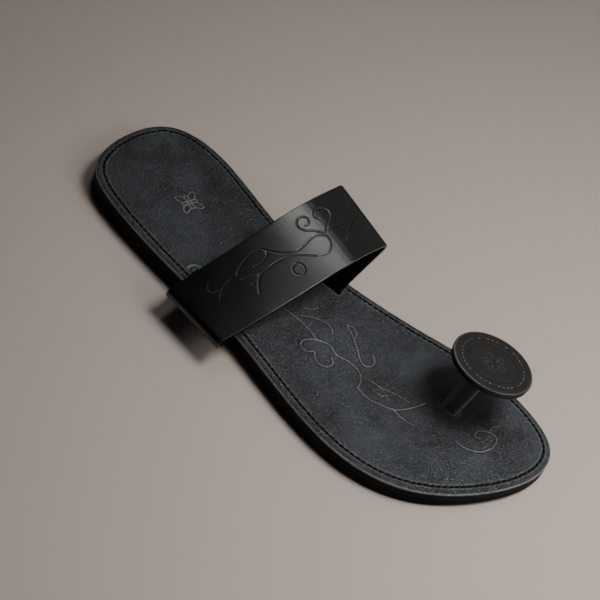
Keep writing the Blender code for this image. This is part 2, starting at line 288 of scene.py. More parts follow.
class NodeBuilder:
    """Short calls for adding and joining the nodes of one tree."""

    def __init__(self, tree: bpy.types.NodeTree) -> None:
        """Remember the tree that the nodes go into."""
        self.tree = tree

    def join(self, value: bpy.types.NodeSocket, target: bpy.types.NodeSocket) -> None:
        """Join an output socket to an input socket."""
        self.tree.links.new(value, target)

    def put(self, made: bpy.types.Node, slot: str | int, value: object) -> None:
        """Give an input of a node a fixed value, or join it to an output socket.

        Args:
            made: The node.
            slot: The input's name or number.
            value: The value or the output socket.
        """
        if isinstance(value, bpy.types.NodeSocket):
            self.join(value, made.inputs[slot])
        else:
            made.inputs[slot].default_value = value

    def node(self, kind: str, links: dict | None = None, **settings: object) -> bpy.types.Node:
        """Add a node.

        Args:
            kind: The node's type name.
            links: Values or output sockets for inputs, by input name or number.
            **settings: The node's own properties.

        Returns:
            The new node.
        """
        made = self.tree.nodes.new(kind)
        for name, value in settings.items():
            setattr(made, name, value)
        for name, value in (links or {}).items():
            self.put(made, name, value)
        return made

    def place(self) -> bpy.types.NodeSocket:
        """Return the object's own coordinates, in metres."""
        return self.node("ShaderNodeTexCoord").outputs["Object"]

    def math(self, operation: str, *values: object) -> bpy.types.NodeSocket:
        """Add a Math node and return its output."""
        return self.node("ShaderNodeMath", dict(enumerate(values)), operation=operation).outputs[0]

    def vector(self, operation: str, *values: object) -> bpy.types.NodeSocket:
        """Add a Vector Math node and return its output."""
        return self.node("ShaderNodeVectorMath", dict(enumerate(values)), operation=operation).outputs[0]

    def scale(self, size: bpy.types.NodeSocket) -> bpy.types.NodeSocket:
        """Return the texture scale that gives features of a size in millimetres."""
        return self.math("DIVIDE", 1.0 / MM, size)

    def noise(self, place: object, scale: object, **looks: float) -> bpy.types.NodeSocket:
        """Add a Noise Texture and return its value."""
        return self.node("ShaderNodeTexNoise", {"Vector": place, "Scale": scale, **looks}).outputs["Fac"]

    def ramp(
        self, value: object, low: float, high: float, start: float = 0.0, end: float = 1.0
    ) -> bpy.types.NodeSocket:
        """Map a value from one range to another, held at both ends, and return the output."""
        links = {0: value, 1: low, 2: high, 3: start, 4: end}
        return self.node("ShaderNodeMapRange", links, clamp=True).outputs[0]

    def mix(self, share: object, first: object, second: object) -> bpy.types.NodeSocket:
        """Mix two colours.

        Args:
            share: How much of the second colour shows, as a number or an output socket.
            first: The first colour, as three numbers or an output socket.
            second: The second colour, likewise.

        Returns:
            The output with the mixed colour.
        """
        made = self.node("ShaderNodeMix", {0: share}, data_type="RGBA")
        for slot, value in ((6, first), (7, second)):
            self.put(made, slot, value if isinstance(value, bpy.types.NodeSocket) else (*value, 1.0))
        return made.outputs[2]

    def group(self, shared: bpy.types.NodeTree, values: dict[str, float]) -> bpy.types.NodeSocket:
        """Place a shared group with a material's own values and return its output."""
        return self.node("ShaderNodeGroup", values, node_tree=shared).outputs[0]


def shader_group(
    name: str, inputs: dict[str, float], output: str
) -> tuple[NodeBuilder, bpy.types.NodeOutputs, bpy.types.NodeSocket]:
    """Start a shader node group with named number sockets.

    Args:
        name: The group's name.
        inputs: Default numbers by input name.
        output: The name of its one output.

    Returns:
        A builder for the group, the sockets of its inputs, and the socket that its result goes to.
    """
    group = bpy.data.node_groups.new(name, "ShaderNodeTree")
    for label, value in inputs.items():
        made = group.interface.new_socket(label, in_out="INPUT", socket_type=Socket.NUMBER.value)
        made.default_value = value
    group.interface.new_socket(output, in_out="OUTPUT", socket_type=Socket.NUMBER.value)
    nodes = NodeBuilder(group)
    start = nodes.node("NodeGroupInput")
    end = nodes.node("NodeGroupOutput")
    return nodes, start.outputs, end.inputs[output]


class EffectLibrary:
    """The shader node groups that the leathers share, each built once."""

    def __init__(self) -> None:
        """Build every group."""
        self.grain = self._grain()
        self.tone = self._tone()
        self.specks = self._specks()
        self.scuffs = self._scuffs()
        self.wrinkles = self._wrinkles()

    @staticmethod
    def _grain() -> bpy.types.NodeTree:
        """Build the leather grain: rounded pebbles with creases between them and fine pores.

        Returns:
            The group.
        """
        inputs = {"Pebble mm": 0.9, "Crease": 0.6, "Pore": 0.25}
        nodes, sizes, height = shader_group("leather_grain", inputs, "Height")
        place = nodes.place()
        wander = nodes.node("ShaderNodeTexNoise", {"Vector": place, "Scale": 420.0, "Detail": 2.0})
        shift = nodes.vector("MULTIPLY", wander.outputs["Color"], (0.7 * MM,) * 3)
        cells = nodes.node(
            "ShaderNodeTexVoronoi",
            {"Vector": nodes.vector("ADD", place, shift), "Scale": nodes.scale(sizes["Pebble mm"])},
            feature="DISTANCE_TO_EDGE",
        )
        dome = nodes.math("POWER", nodes.ramp(cells.outputs["Distance"], 0.0, 0.32), 0.55)
        fine = nodes.noise(place, 3200.0, Detail=3.0, Roughness=0.6)
        creased = nodes.math("MULTIPLY", dome, sizes["Crease"])
        pores = nodes.math("MULTIPLY", fine, sizes["Pore"])
        nodes.join(nodes.math("ADD", creased, pores), height)
        return nodes.tree

    @staticmethod
    def _tone() -> bpy.types.NodeTree:
        """Build the broad, soft variation of a dyed hide.

        Returns:
            The group.
        """
        nodes, sizes, mask = shader_group("hide_tone", {"Patch mm": 24.0}, "Mask")
        cloud = nodes.noise(nodes.place(), nodes.scale(sizes["Patch mm"]), Detail=5.0, Roughness=0.62)
        nodes.join(nodes.ramp(cloud, 0.34, 0.68), mask)
        return nodes.tree

    @staticmethod
    def _specks() -> bpy.types.NodeTree:
        """Build sparse pale specks of dust.

        Returns:
            The group.
        """
        nodes, sizes, mask = shader_group("dust_specks", {"Spacing mm": 5.0, "Size": 0.10}, "Mask")
        spread = {"Vector": nodes.place(), "Scale": nodes.scale(sizes["Spacing mm"])}
        cells = nodes.node("ShaderNodeTexVoronoi", spread, feature="F1")
        chance = nodes.node("ShaderNodeSeparateColor", {0: cells.outputs["Color"]}).outputs[0]
        chosen = nodes.math("GREATER_THAN", chance, 0.72)
        dot = nodes.math("LESS_THAN", cells.outputs["Distance"], sizes["Size"])
        nodes.join(nodes.math("MULTIPLY", chosen, dot), mask)
        return nodes.tree

    @staticmethod
    def _wrinkles() -> bpy.types.NodeTree:
        """Build the short raised wrinkles of the hide, which grow from the rear to the front; a finish may
        paint a sheen on their tops.

        Returns:
            The group.
        """
        inputs = {"Size mm": 2.2, "Rear m": -0.1, "Front m": 0.0}
        nodes, sizes, mask = shader_group("hide_wrinkles", inputs, "Mask")
        place = nodes.place()
        lie = {"Vector": place, "Rotation": (0.0, 0.0, 0.5), "Scale": (1.0, 0.62, 1.0)}
        turned = nodes.node("ShaderNodeMapping", lie).outputs[0]
        size = nodes.scale(sizes["Size mm"])
        ripple = nodes.noise(turned, size, Detail=1.5, Roughness=0.6, Distortion=0.3)
        along = nodes.node("ShaderNodeSeparateXYZ", {"Vector": place}).outputs["Y"]
        reach = nodes.math("SUBTRACT", sizes["Front m"], sizes["Rear m"])
        way = nodes.math("DIVIDE", nodes.math("SUBTRACT", along, sizes["Rear m"]), reach)
        strength = nodes.ramp(way, 0.0, 1.0, 0.22, 1.0)
        nodes.join(nodes.math("MULTIPLY", nodes.ramp(ripple, 0.40, 0.68), strength), mask)
        return nodes.tree

    @staticmethod
    def _scuffs() -> bpy.types.NodeTree:
        """Build faint directional rub marks that break up the gloss.

        Returns:
            The group.
        """
        nodes, sizes, mask = shader_group("rub_marks", {"Length mm": 22.0, "Width mm": 1.4}, "Mask")
        along, across = nodes.scale(sizes["Length mm"]), nodes.scale(sizes["Width mm"])
        stretch = nodes.node("ShaderNodeCombineXYZ", {0: across, 1: along, 2: across})
        turned = nodes.node("ShaderNodeMapping", {"Vector": nodes.place(), "Rotation": (0.0, 0.0, 0.6)})
        scaled = nodes.vector("MULTIPLY", turned.outputs[0], stretch.outputs[0])
        nodes.join(nodes.ramp(nodes.noise(scaled, 1.0, Detail=4.0), 0.56, 0.74), mask)
        return nodes.tree


@dataclass(frozen=True)
class LeatherFinish:
    """One leather: its colours, its gloss and the relief of its grain.

    Attributes:
        base: The hide's dark tone, and lifted its light one, in patches of patch_mm.
        edge_wear_and_highlight: The colour of rubbed edges, which on the strip and the knob also paints
            highlights along their rims; wear says how much, and patchy how unevenly.
        ridge: The colour of the painted highlights on raised lines, lips and rims; highlight_strength says
            how much.
        wrinkle_sheen: The colour of the painted sheen on top of wrinkles of wrinkle_mm; wrinkle says how
            much, and also how high they stand.
        painted_groove_shade: How dark the painted shade in a pressed line's bottom is.
        dust: How much the pale specks show.
        edge_gloss: How much smoother rubbed edges are, and rub how much rougher the rub marks are.
    """

    name: str
    base: tuple[float, float, float]
    lifted: tuple[float, float, float]
    edge_wear_and_highlight: tuple[float, float, float]
    roughness: float
    roughness_spread: float
    pebble_mm: float
    crease: float
    pore: float
    grain_depth: float
    patch_mm: float = 24.0
    dust: float = 0.25
    wear: float = 0.5
    patchy: float = 1.0
    edge_gloss: float = 0.06
    painted_groove_shade: float = 0.35
    press_roughness: float = 0.15
    highlight_strength: float = 0.3
    ridge: tuple[float, float, float] = (0.27, 0.29, 0.30)
    wrinkle_mm: float = 2.0
    wrinkle: float = 0.0
    wrinkle_sheen: tuple[float, float, float] = (0.125, 0.135, 0.140)
    rub: float = 0.05
    specular: float = 0.5

    def shaded(self, share: float) -> tuple[float, ...]:
        """Return the dark tone, darkened to a share of itself, as painted shade."""
        return tuple(share * channel for channel in self.base)

    def material(self, effects: EffectLibrary) -> bpy.types.Material:
        """Build this leather as a Principled material.

        Args:
            effects: The shared shader node groups.

        Returns:
            The new material.
        """
        made = bpy.data.materials.new(self.name)
        made.use_nodes = True
        nodes = NodeBuilder(made.node_tree)
        shader = made.node_tree.nodes["Principled BSDF"]
        tone = nodes.group(effects.tone, {"Patch mm": self.patch_mm})
        pebbles = {"Pebble mm": self.pebble_mm, "Crease": self.crease, "Pore": self.pore}
        grain = nodes.group(effects.grain, pebbles)
        specks = nodes.group(effects.specks, {"Spacing mm": 4.0, "Size": 0.07})
        rubs = nodes.group(effects.scuffs, {"Length mm": 22.0, "Width mm": 1.4})
        wrinkles = nodes.group(effects.wrinkles, {"Size mm": self.wrinkle_mm})
        edge, press, highlight_mark = (
            nodes.node("ShaderNodeAttribute", attribute_name=mark).outputs["Fac"] for mark in MARKS
        )

        # Painted shade: the valleys of the grain are drawn darker.
        painted_valley_shade = nodes.ramp(grain, 0.15, 0.55, 0.75, 0.0)
        # Painted sheen: the tops of the wrinkles are drawn lighter, more towards the toe; the same mask
        # raises them in the relief.
        wrinkle_relief_and_sheen = nodes.math("MULTIPLY", wrinkles, self.wrinkle)
        cover = nodes.ramp(tone, 0.0, 1.0, 1.0 - self.patchy, 1.0)
        # Rubbed edges, and on the strip and the knob thin painted highlights along the rims.
        rubbed_edges_and_highlights = nodes.math("MULTIPLY", nodes.math("MULTIPLY", edge, cover), self.wear)
        # Painted highlights on raised lines, lips, rims and seam edges, brighter where the tone is lifted.
        catch = nodes.ramp(tone, 0.2, 0.7, 0.55, 1.0)
        painted_highlights = nodes.math("MULTIPLY", nodes.math("MULTIPLY", highlight_mark, self.highlight_strength), catch)
        # Painted shade also darkens the bottoms of pressed lines and grooves, by their press mark.
        layers = (
            (painted_valley_shade, self.shaded(0.55)),
            (wrinkle_relief_and_sheen, self.wrinkle_sheen),
            (rubbed_edges_and_highlights, self.edge_wear_and_highlight),
            (painted_highlights, self.ridge),
            (nodes.math("MULTIPLY", press, self.painted_groove_shade), self.shaded(0.15)),
            (nodes.math("MULTIPLY", specks, self.dust), DUST_COLOUR),
        )
        colour = nodes.mix(tone, self.base, self.lifted)
        for share, over in layers:
            colour = nodes.mix(share, colour, over)
        nodes.join(colour, shader.inputs["Base Color"])

        patches = nodes.math("SUBTRACT", tone, 0.5)
        rough = nodes.math("MULTIPLY_ADD", patches, self.roughness_spread, self.roughness)
        for mark, change in ((rubs, self.rub), (edge, -self.edge_gloss), (press, self.press_roughness)):
            rough = nodes.math("MULTIPLY_ADD", mark, change, rough)
        nodes.join(rough, shader.inputs["Roughness"])

        relief = {"Strength": 1.0, "Distance": self.grain_depth, "Height": nodes.math("ADD", grain, wrinkle_relief_and_sheen)}
        nodes.join(nodes.node("ShaderNodeBump", relief).outputs["Normal"], shader.inputs["Normal"])
        shader.inputs["Specular IOR Level"].default_value = self.specular
        return made


@dataclass
class SoleShape:
    """The sole's outline and heights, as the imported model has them."""

    length: float = 0.265
    ball_width: float = 0.0975
    heel_height: float = 0.0134
    toe_height: float = 0.0102
    insole_thickness: float = 0.0052
    arch_rise: float = 0.0012
    toe_spring: float = 0.0016
    stations: int = 380
    outline_steps: int = 60
    outline_table: tuple = (
        ("heel_back", 0.000, 0.014),
        ("heel_outer_corner", 0.028, 0.218),
        ("heel_outer", 0.107, 0.312),
        ("waist_outer", 0.254, 0.367),
        ("instep_outer", 0.428, 0.409),
        ("ball_outer_rear", 0.576, 0.486),
        ("ball_outer", 0.732, 0.535),
        ("little_toe", 0.855, 0.438),
        ("toes_outer", 0.946, 0.189),
        ("toe_tip", 0.999, -0.141),
        ("big_toe", 0.972, -0.371),
        ("big_toe_inner", 0.799, -0.456),
        ("ball_inner", 0.670, -0.386),
        ("waist_inner_front", 0.503, -0.300),
        ("waist_inner", 0.337, -0.290),
        ("heel_inner", 0.149, -0.391),
        ("heel_inner_corner", 0.030, -0.305),
    )
    heel_rest_end: float = 0.30
    forefoot_rest_start: float = 0.58
    forefoot_rest_end: float = 0.86

    def __post_init__(self) -> None:
        """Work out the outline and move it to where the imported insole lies."""
        table = np.array(
            [(across * self.ball_width, along * self.length) for _, along, across in self.outline_table]
        )
        curve = closed_spline(table, self.outline_steps)
        low, high = curve.min(axis=0), curve.max(axis=0)
        curve[:, 0] *= self.ball_width / (high[0] - low[0])
        curve[:, 1] = (curve[:, 1] - low[1]) * self.length / (high[1] - low[1])
        curve = np.roll(curve, -int(curve[:, 1].argmin()), axis=0)
        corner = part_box("insole")[0]
        self.shift = np.array([corner.x - curve[:, 0].min(), corner.y])
        toe = int(curve[:, 1].argmax())
        self.outer = curve[: toe + 1]
        self.inner = np.vstack([curve[toe:], curve[:1]])[::-1]
        outer = resample(self.outer, self.stations + 1)
        inner = resample(self.inner, self.stations + 1)
        self.outline = np.vstack([outer, inner[-2:0:-1]])

    def outer_edge(self, y: float) -> float:
        """Return the x of the outer edge at a place along the sole."""
        return float(np.interp(y, self.outer[:, 1], self.outer[:, 0]))

    def inner_edge(self, y: float) -> float:
        """Return the x of the inner edge at a place along the sole."""
        return float(np.interp(y, self.inner[:, 1], self.inner[:, 0]))

    def top(self, y: float | np.ndarray) -> float | np.ndarray:
        """Return the height of the insole's top."""
        return self.heel_height + (self.toe_height - self.heel_height) * y / self.length

    def split(self, y: float | np.ndarray) -> float | np.ndarray:
        """Return the height of the insole's underside."""
        return self.top(y) - self.insole_thickness

    def floor(self, y: np.ndarray) -> np.ndarray:
        """Work out the height of the sole's underside.

        Args:
            y: Places along the sole.

        Returns:
            The heights there.
        """
        share = y / self.length
        lift = np.clip((share - self.forefoot_rest_end) / (1.0 - self.forefoot_rest_end), 0.0, 1.0)
        span = self.forefoot_rest_start - self.heel_rest_end
        arch = np.clip((share - self.heel_rest_end) / span, 0.0, 1.0)
        return self.toe_spring * lift**2 + self.arch_rise * np.sin(math.pi * arch) ** 2

    def inset(self, distance: float) -> np.ndarray:
        """Move the outline inwards.

        Args:
            distance: How far it moves.

        Returns:
            The moved outline's points, one row each.
        """
        run = np.roll(self.outline, -2, axis=0) - np.roll(self.outline, 2, axis=0)
        run /= np.linalg.norm(run, axis=1)[:, None]
        inward = np.column_stack([-run[:, 1], run[:, 0]])
        return self.outline + inward * distance

    def placed(self, points: np.ndarray) -> np.ndarray:
        """Move points from the sole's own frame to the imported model's.

        Args:
            points: The points, one row each.

        Returns:
            The moved points.
        """
        moved = np.array(points, float)
        moved[:, :2] += self.shift
        return moved


@dataclass(frozen=True)
class Stroke:
    """One pressed line: points in millimetres, and how wide and deep it is pressed."""

    points: tuple[tuple[float, float], ...]
    width: float = 0.33
    depth: float = 0.15

    def line(self) -> np.ndarray:
        """Return the stroke as a smooth polyline in metres."""
        table = np.array(self.points) * MM
        return open_curve(table, 7) if len(table) > 2 else table


def ring_stroke(x: float, y: float, radius: float, width: float, depth: float) -> Stroke:
    """Draw a pressed ring, in millimetres.

    Args:
        x: The place of its middle.
        y: The other place of its middle.
        radius: Its radius.
        width: The width of the line.
        depth: The depth of the line.

    Returns:
        The ring as a stroke.
    """
    angles = np.linspace(0.0, 2.0 * math.pi, 17)
    points = tuple((x + radius * math.cos(a), y + radius * math.sin(a)) for a in angles)
    return Stroke(points, width, depth)


def petal_stroke(x: float, y: float, angle: float, reach: float, width: float = 0.40) -> Stroke:
    """Draw a closed petal, in millimetres.

    Args:
        x: The place that it starts from.
        y: The other place that it starts from.
        angle: The direction that it points in.
        reach: Its length.
        width: The width of the line.

    Returns:
        The petal as a stroke.
    """
    along = np.array([math.cos(angle), math.sin(angle)])
    side = np.array([-along[1], along[0]])
    points = [np.array([x, y]) + reach * (a * along + b * side) for a, b in PETAL_SHAPE]
    return Stroke(tuple((float(p[0]), float(p[1])) for p in points), width, PETAL_DEPTH)


@dataclass(frozen=True)
class LineProfile:
    """The profile across a worked line, with distances as shares of the stroke's width."""

    middle_fall: float = 1.2
    side_fall: float = 2.0
    side_place: float = 2.1
    groove_rise: float = 0.15
    ridge_dip: float = 0.7
    ridge_shade: float = 0.8

    def across(self, away: np.ndarray, press: Press) -> tuple[np.ndarray, np.ndarray, np.ndarray]:
        """Work out the profile.

        Args:
            away: Distances from the line's middle.
            press: Whether the line is a pressed groove, or a raised ridge between two finer grooves.

        Returns:
            The height as a share of the stroke's depth, the mask of what is sunk, and of what is raised.
        """
        middle = np.exp(-self.middle_fall * away**2)
        side = np.exp(-self.side_fall * (away - self.side_place) ** 2)
        if press is Press.GROOVE:
            return self.groove_rise * side - middle, middle, side
        return middle - self.ridge_dip * side, self.ridge_shade * side, middle


def press_field(
    places: np.ndarray, strokes: list[Stroke], press: Press
) -> tuple[np.ndarray, np.ndarray, np.ndarray]:
    """Work out how strokes change a surface.

    Args:
        places: Points in the plane of the surface, one row each, in metres.
        strokes: The worked lines.
        press: The way in which they are worked.

    Returns:
        The height change in metres, a mask that is 1 in the bottom of a groove and one for raised lines; the
        finishes paint shade on the first and a highlight on the second.
    """
    nearest = np.full(len(places), FAR_WIDTHS)
    depth = np.zeros(len(places))
    for stroke in strokes:
        share = line_distance(places, stroke.line()) / (stroke.width * MM)
        closer = share < nearest
        nearest = np.where(closer, share, nearest)
        depth = np.where(closer, stroke.depth * MM, depth)
    height, sunk, raised = LineProfile().across(nearest, press)
    return depth * height, sunk, raised


def refine(thing: bpy.types.Object, near: np.ndarray, cuts: int) -> None:
    """Divide the faces around chosen corners more finely.

    Args:
        thing: The object, whose mesh is changed.
        near: True for each corner that has to end up among small faces.
        cuts: How many new corners each edge gets.
    """
    shape = bmesh.new()
    shape.from_mesh(thing.data)
    shape.verts.ensure_lookup_table()
    edges = [edge for edge in shape.edges if near[edge.verts[0].index] and near[edge.verts[1].index]]
    bmesh.ops.subdivide_edges(shape, edges=edges, cuts=cuts, use_grid_fill=True)
    shape.to_mesh(thing.data)
    shape.free()


def corner_table(thing: bpy.types.Object) -> np.ndarray:
    """Read the mesh's corners.

    Args:
        thing: The object.

    Returns:
        The corners, one row each.
    """
    flat = np.empty(3 * len(thing.data.vertices))
    thing.data.vertices.foreach_get("co", flat)
    return flat.reshape(-1, 3)


def read_mark(thing: bpy.types.Object, mark: str) -> np.ndarray:
    """Read a point attribute.

    Args:
        thing: The object.
        mark: The attribute's name.

    Returns:
        Its value at each corner.
    """
    values = np.empty(len(thing.data.vertices), np.float32)
    thing.data.attributes[mark].data.foreach_get("value", values)
    return values


def write_mark(thing: bpy.types.Object, mark: str, values: np.ndarray) -> None:
    """Write one value for each corner to a point attribute that is there already."""
    thing.data.attributes[mark].data.foreach_set("value", np.asarray(values, np.float32))


@dataclass
class Slit:
    """An opening through the insole for a strip of leather."""

    centre: np.ndarray
    run: np.ndarray
    length: float
    width: float

    def side(self) -> np.ndarray:
        """Return the direction across the slit."""
        return np.array([-self.run[1], self.run[0]])

    def distance(self, places: np.ndarray) -> np.ndarray:
        """Measure how far places are from the slit's rim.

        Args:
            places: Points in the plane, one row each.

        Returns:
            The distances, 0 inside the slit.
        """
        offset = places - self.centre
        along = np.abs(offset @ self.run) - self.length / 2.0
        across = np.abs(offset @ self.side()) - self.width / 2.0
        return np.hypot(np.maximum(along, 0.0), np.maximum(across, 0.0))

    def cutter(self, name: str, low: float, high: float, lean: Vector) -> bpy.types.Object:
        """Make the box that cuts the slit, sheared along a lean around the insole's top.

        Args:
            name: The cutter's name.
            low: Its lowest height.
            high: Its highest height.
            lean: The sideways move for each unit of height, with the centre's own height as z.

        Returns:
            The box.
        """
        points = []
        for height in (low, high):
            for along, across in ((-1, -1), (1, -1), (1, 1), (-1, 1)):
                reach = self.run * along * self.length / 2.0 + self.side() * across * self.width / 2.0
                flat = self.centre + reach + np.array([lean.x, lean.y]) * (height - lean.z)
                points.append((flat[0], flat[1], height))
        faces = ring_faces(2, 4) + [(3, 2, 1, 0), (4, 5, 6, 7)]
        return make_mesh(name, np.array(points), faces, {})


@dataclass
class Footbed:
    """The leather-covered insole, with its seam groove, pressed scrolls and slits."""

    sole: SoleShape
    slits: list[Slit]
    leans: list[Vector]
    strokes: list[Stroke]
    nicks: list[Stroke]
    top_round: float = 0.0016
    bottom_round: float = 0.00025
    skirt: float = 0.00022
    skirt_width: float = 0.0012
    rim_wear: float = 0.8
    rim_light: float = 1.5
    seam_inset: float = 0.0038
    seam_depth: float = 0.00050
    seam_half_width: float = 0.00080
    seam_slope: float = 0.00006
    seam_light: float = 0.3
    field_inset: float = 0.0062
    field_swell: float = 0.00010
    swells: tuple = ((0.00010, 0.030, 4), (0.00004, 0.009, 9))
    slit_lift: float = 0.00045
    slit_lift_place: float = 0.0009
    slit_lift_width: float = 0.0011
    slit_light: float = 0.8
    slit_light_place: float = 0.0005
    slit_light_width: float = 0.0004
    fine_reach: float = 0.0015
    fine_cuts: int = 2
    columns: int = 96
    cutter_top: float = 0.030
    wall_drop: float = 0.0004
    wall_steepness: float = 0.75

    def rim(self) -> list[tuple[float, float, float, float, float, float]]:
        """Work out the rim's rows, from the skirt up the wall and over the seam groove to the field.

        Returns:
            Rows of inset, share from underside to top, offset, and edge, press and highlight marks; press
            marks are painted shade.
        """
        rows = [(self.skirt_width, 0.0, 0.0, 0.0, 0.0, 0.0)]
        for angle in quarter_turn(3):
            lift = self.bottom_round * (1.0 - math.cos(angle)) - self.skirt
            rows.append((self.bottom_round * (1.0 - math.sin(angle)), 0.0, lift, 1.0, 0.0, 0.0))
        rows += [(0.0, share, 0.0, 1.0, 0.0, 0.0) for share in (0.3, 0.6)]
        # A thin painted highlight line runs along the top's rounding.
        for step, angle in enumerate(quarter_turn(6)):
            inset = self.top_round * (1.0 - math.cos(angle))
            drop = self.top_round * (1.0 - math.sin(angle))
            rows.append((inset, 1.0, -drop, self.rim_wear, 0.0, self.rim_light * float(0 < step < 3)))
        start = self.seam_inset - self.seam_half_width
        # Painted highlights line both edges of the seam groove.
        for share, light in ((0.4, 0.0), (0.9, self.seam_light)):
            inset = self.top_round + (start - self.top_round) * share
            wear = self.rim_wear - 0.4 * share
            rows.append((inset, 1.0, -self.seam_slope * share, wear, 0.0, light))
        # The seam groove's press mark is painted shade.
        for step in range(7):
            share = step / 6.0
            inset = start + 2.0 * self.seam_half_width * share
            groove = math.sin(math.pi * share) ** 2
            rows.append((inset, 1.0, -self.seam_depth * groove, 0.3 * (1.0 - share), groove, 0.0))
        end = self.seam_inset + self.seam_half_width
        for share, light in ((0.2, self.seam_light), (0.6, 0.0), (1.0, 0.0)):
            swell = self.field_swell * math.sin(math.pi * share) ** 2
            rows.append((end + (self.field_inset - end) * share, 1.0, swell, 0.0, 0.0, light))
        return rows

    def field_height(self, places: np.ndarray) -> tuple[np.ndarray, np.ndarray, np.ndarray]:
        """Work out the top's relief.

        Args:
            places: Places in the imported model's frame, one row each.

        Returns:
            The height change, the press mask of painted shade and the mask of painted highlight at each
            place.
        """
        height, mask, highlight_mark = press_field(places, self.strokes, Press.RIDGE)
        nicks, dark, _ = press_field(places, self.nicks, Press.GROOVE)
        height += nicks + swells(places, self.swells)
        mask = np.maximum(mask, dark)
        for slit in self.slits:
            gap = slit.distance(places)
            outside = gap > 0.0
            height += self.slit_lift * bell(gap, self.slit_lift_place, self.slit_lift_width) * outside
            # A painted highlight on the lifted rim round each slit.
            light = self.slit_light * bell(gap, self.slit_light_place, self.slit_light_width)
            highlight_mark = np.maximum(highlight_mark, light * outside)
        return height, mask, highlight_mark

    def press(self, bed: bpy.types.Object) -> None:
        """Divide the top more finely along the pressed lines, and give it its relief.

        Args:
            bed: The footbed, whose mesh is changed.
        """
        flat = corner_table(bed)[:, :2]
        away = np.min([line_distance(flat, stroke.line()) for stroke in self.strokes], axis=0)
        refine(bed, (away < self.fine_reach) & (read_mark(bed, "field") > 0.5), self.fine_cuts)
        corners = corner_table(bed)
        relief, mask, highlight_mark = self.field_height(corners[:, :2])
        top = read_mark(bed, "field") > 0.999
        corners[:, 2] += np.where(top, relief, 0.0)
        bed.data.vertices.foreach_set("co", corners.ravel())
        for mark, values in (("press", mask), ("highlight_mark", highlight_mark)):
            write_mark(bed, mark, np.where(top, values, read_mark(bed, mark)))
        bed.data.attributes.remove(bed.data.attributes["field"])
        bed.data.shade_smooth()
        bed.data.update()

    def build(self) -> bpy.types.Object:
        """Build the footbed's mesh and cut its slits.

        Returns:
            The footbed.
        """
        sole, rows = self.sole, self.rim()
        size, half = 2 * sole.stations, sole.stations
        last, base = (len(rows) - 1) * size, len(rows) * size
        points = []
        for inset, share, offset, *_ in rows:
            flat = sole.inset(inset)
            level = sole.split(flat[:, 1]) * (1.0 - share) + sole.top(flat[:, 1]) * share
            points.append(np.column_stack([flat, level + offset]))
        rim_end = points[-1]
        shares = np.arange(1, self.columns)[:, None] / self.columns
        top = np.vstack([rim_end[i] + (rim_end[size - i] - rim_end[i]) * shares for i in range(1, half)])
        top[:, 2] = sole.top(top[:, 1])
        points.append(top)
        marks = {"field": np.r_[np.zeros(base), np.ones(len(top))]}
        for column, mark in enumerate(MARKS, 3):
            marks[mark] = np.r_[np.repeat([row[column] for row in rows], size), np.zeros(len(top))]

        def spot(row: int, column: int) -> int:
            """Find a corner of the ladder between the rim's two sides.

            Args:
                row: The station along the sole.
                column: The place across it, from the outer side.

            Returns:
                The corner's number.
            """
            if column == 0:
                return last + row
            if column == self.columns:
                return last + (size - row) % size
            return base + (row - 1) * (self.columns - 1) + column - 1

        faces = ring_faces(len(rows), size)
        for row in range(1, half - 1):
            for column in range(self.columns):
                a, b = spot(row, column), spot(row, column + 1)
                c, d = spot(row + 1, column + 1), spot(row + 1, column)
                faces.append((a, d, c, b))
        for column in range(self.columns):
            faces.append((last, spot(1, column), spot(1, column + 1)))
        for column in range(self.columns):
            faces.append((last + half, spot(half - 1, column + 1), spot(half - 1, column)))
        for i in range(1, half - 1):
            faces.append((i, size - i, size - i - 1, i + 1))
        faces += [(0, size - 1, 1), (half - 1, half + 1, half)]
        bed = make_mesh("footbed", sole.placed(np.vstack(points)), faces, marks)
        self.press(bed)
        self.cut(bed)
        return bed

    def cut(self, bed: bpy.types.Object) -> None:
        """Cut the slits.

        Args:
            bed: The footbed, whose mesh is changed.
        """
        cutters = []
        for index, (slit, lean) in enumerate(zip(self.slits, self.leans)):
            cutter = slit.cutter(f"slit_cutter_{index}", 0.0, self.cutter_top, lean)
            boolean = bed.modifiers.new(cutter.name, "BOOLEAN")
            boolean.operation = "DIFFERENCE"
            boolean.solver = "EXACT"
            boolean.object = cutter
            cutters.append(cutter)
        settle(bed)
        for cutter in cutters:
            bpy.data.objects.remove(cutter, do_unlink=True)

    def burnish_wall(self, bed: bpy.types.Object, finish: bpy.types.Material) -> None:
        """Give the side wall and the underside their own finish.

        Args:
            bed: The dressed footbed.
            finish: The finish of the wall.
        """
        bed.data.materials.append(finish)
        sole, steep = self.sole, self.wall_steepness
        for face in bed.data.polygons:
            level = sole.top(face.center.y - sole.shift[1]) - self.top_round - self.wall_drop
            wall = face.center.z < level and abs(face.normal.z) < steep
            face.material_index = int(wall or face.normal.z < -steep)


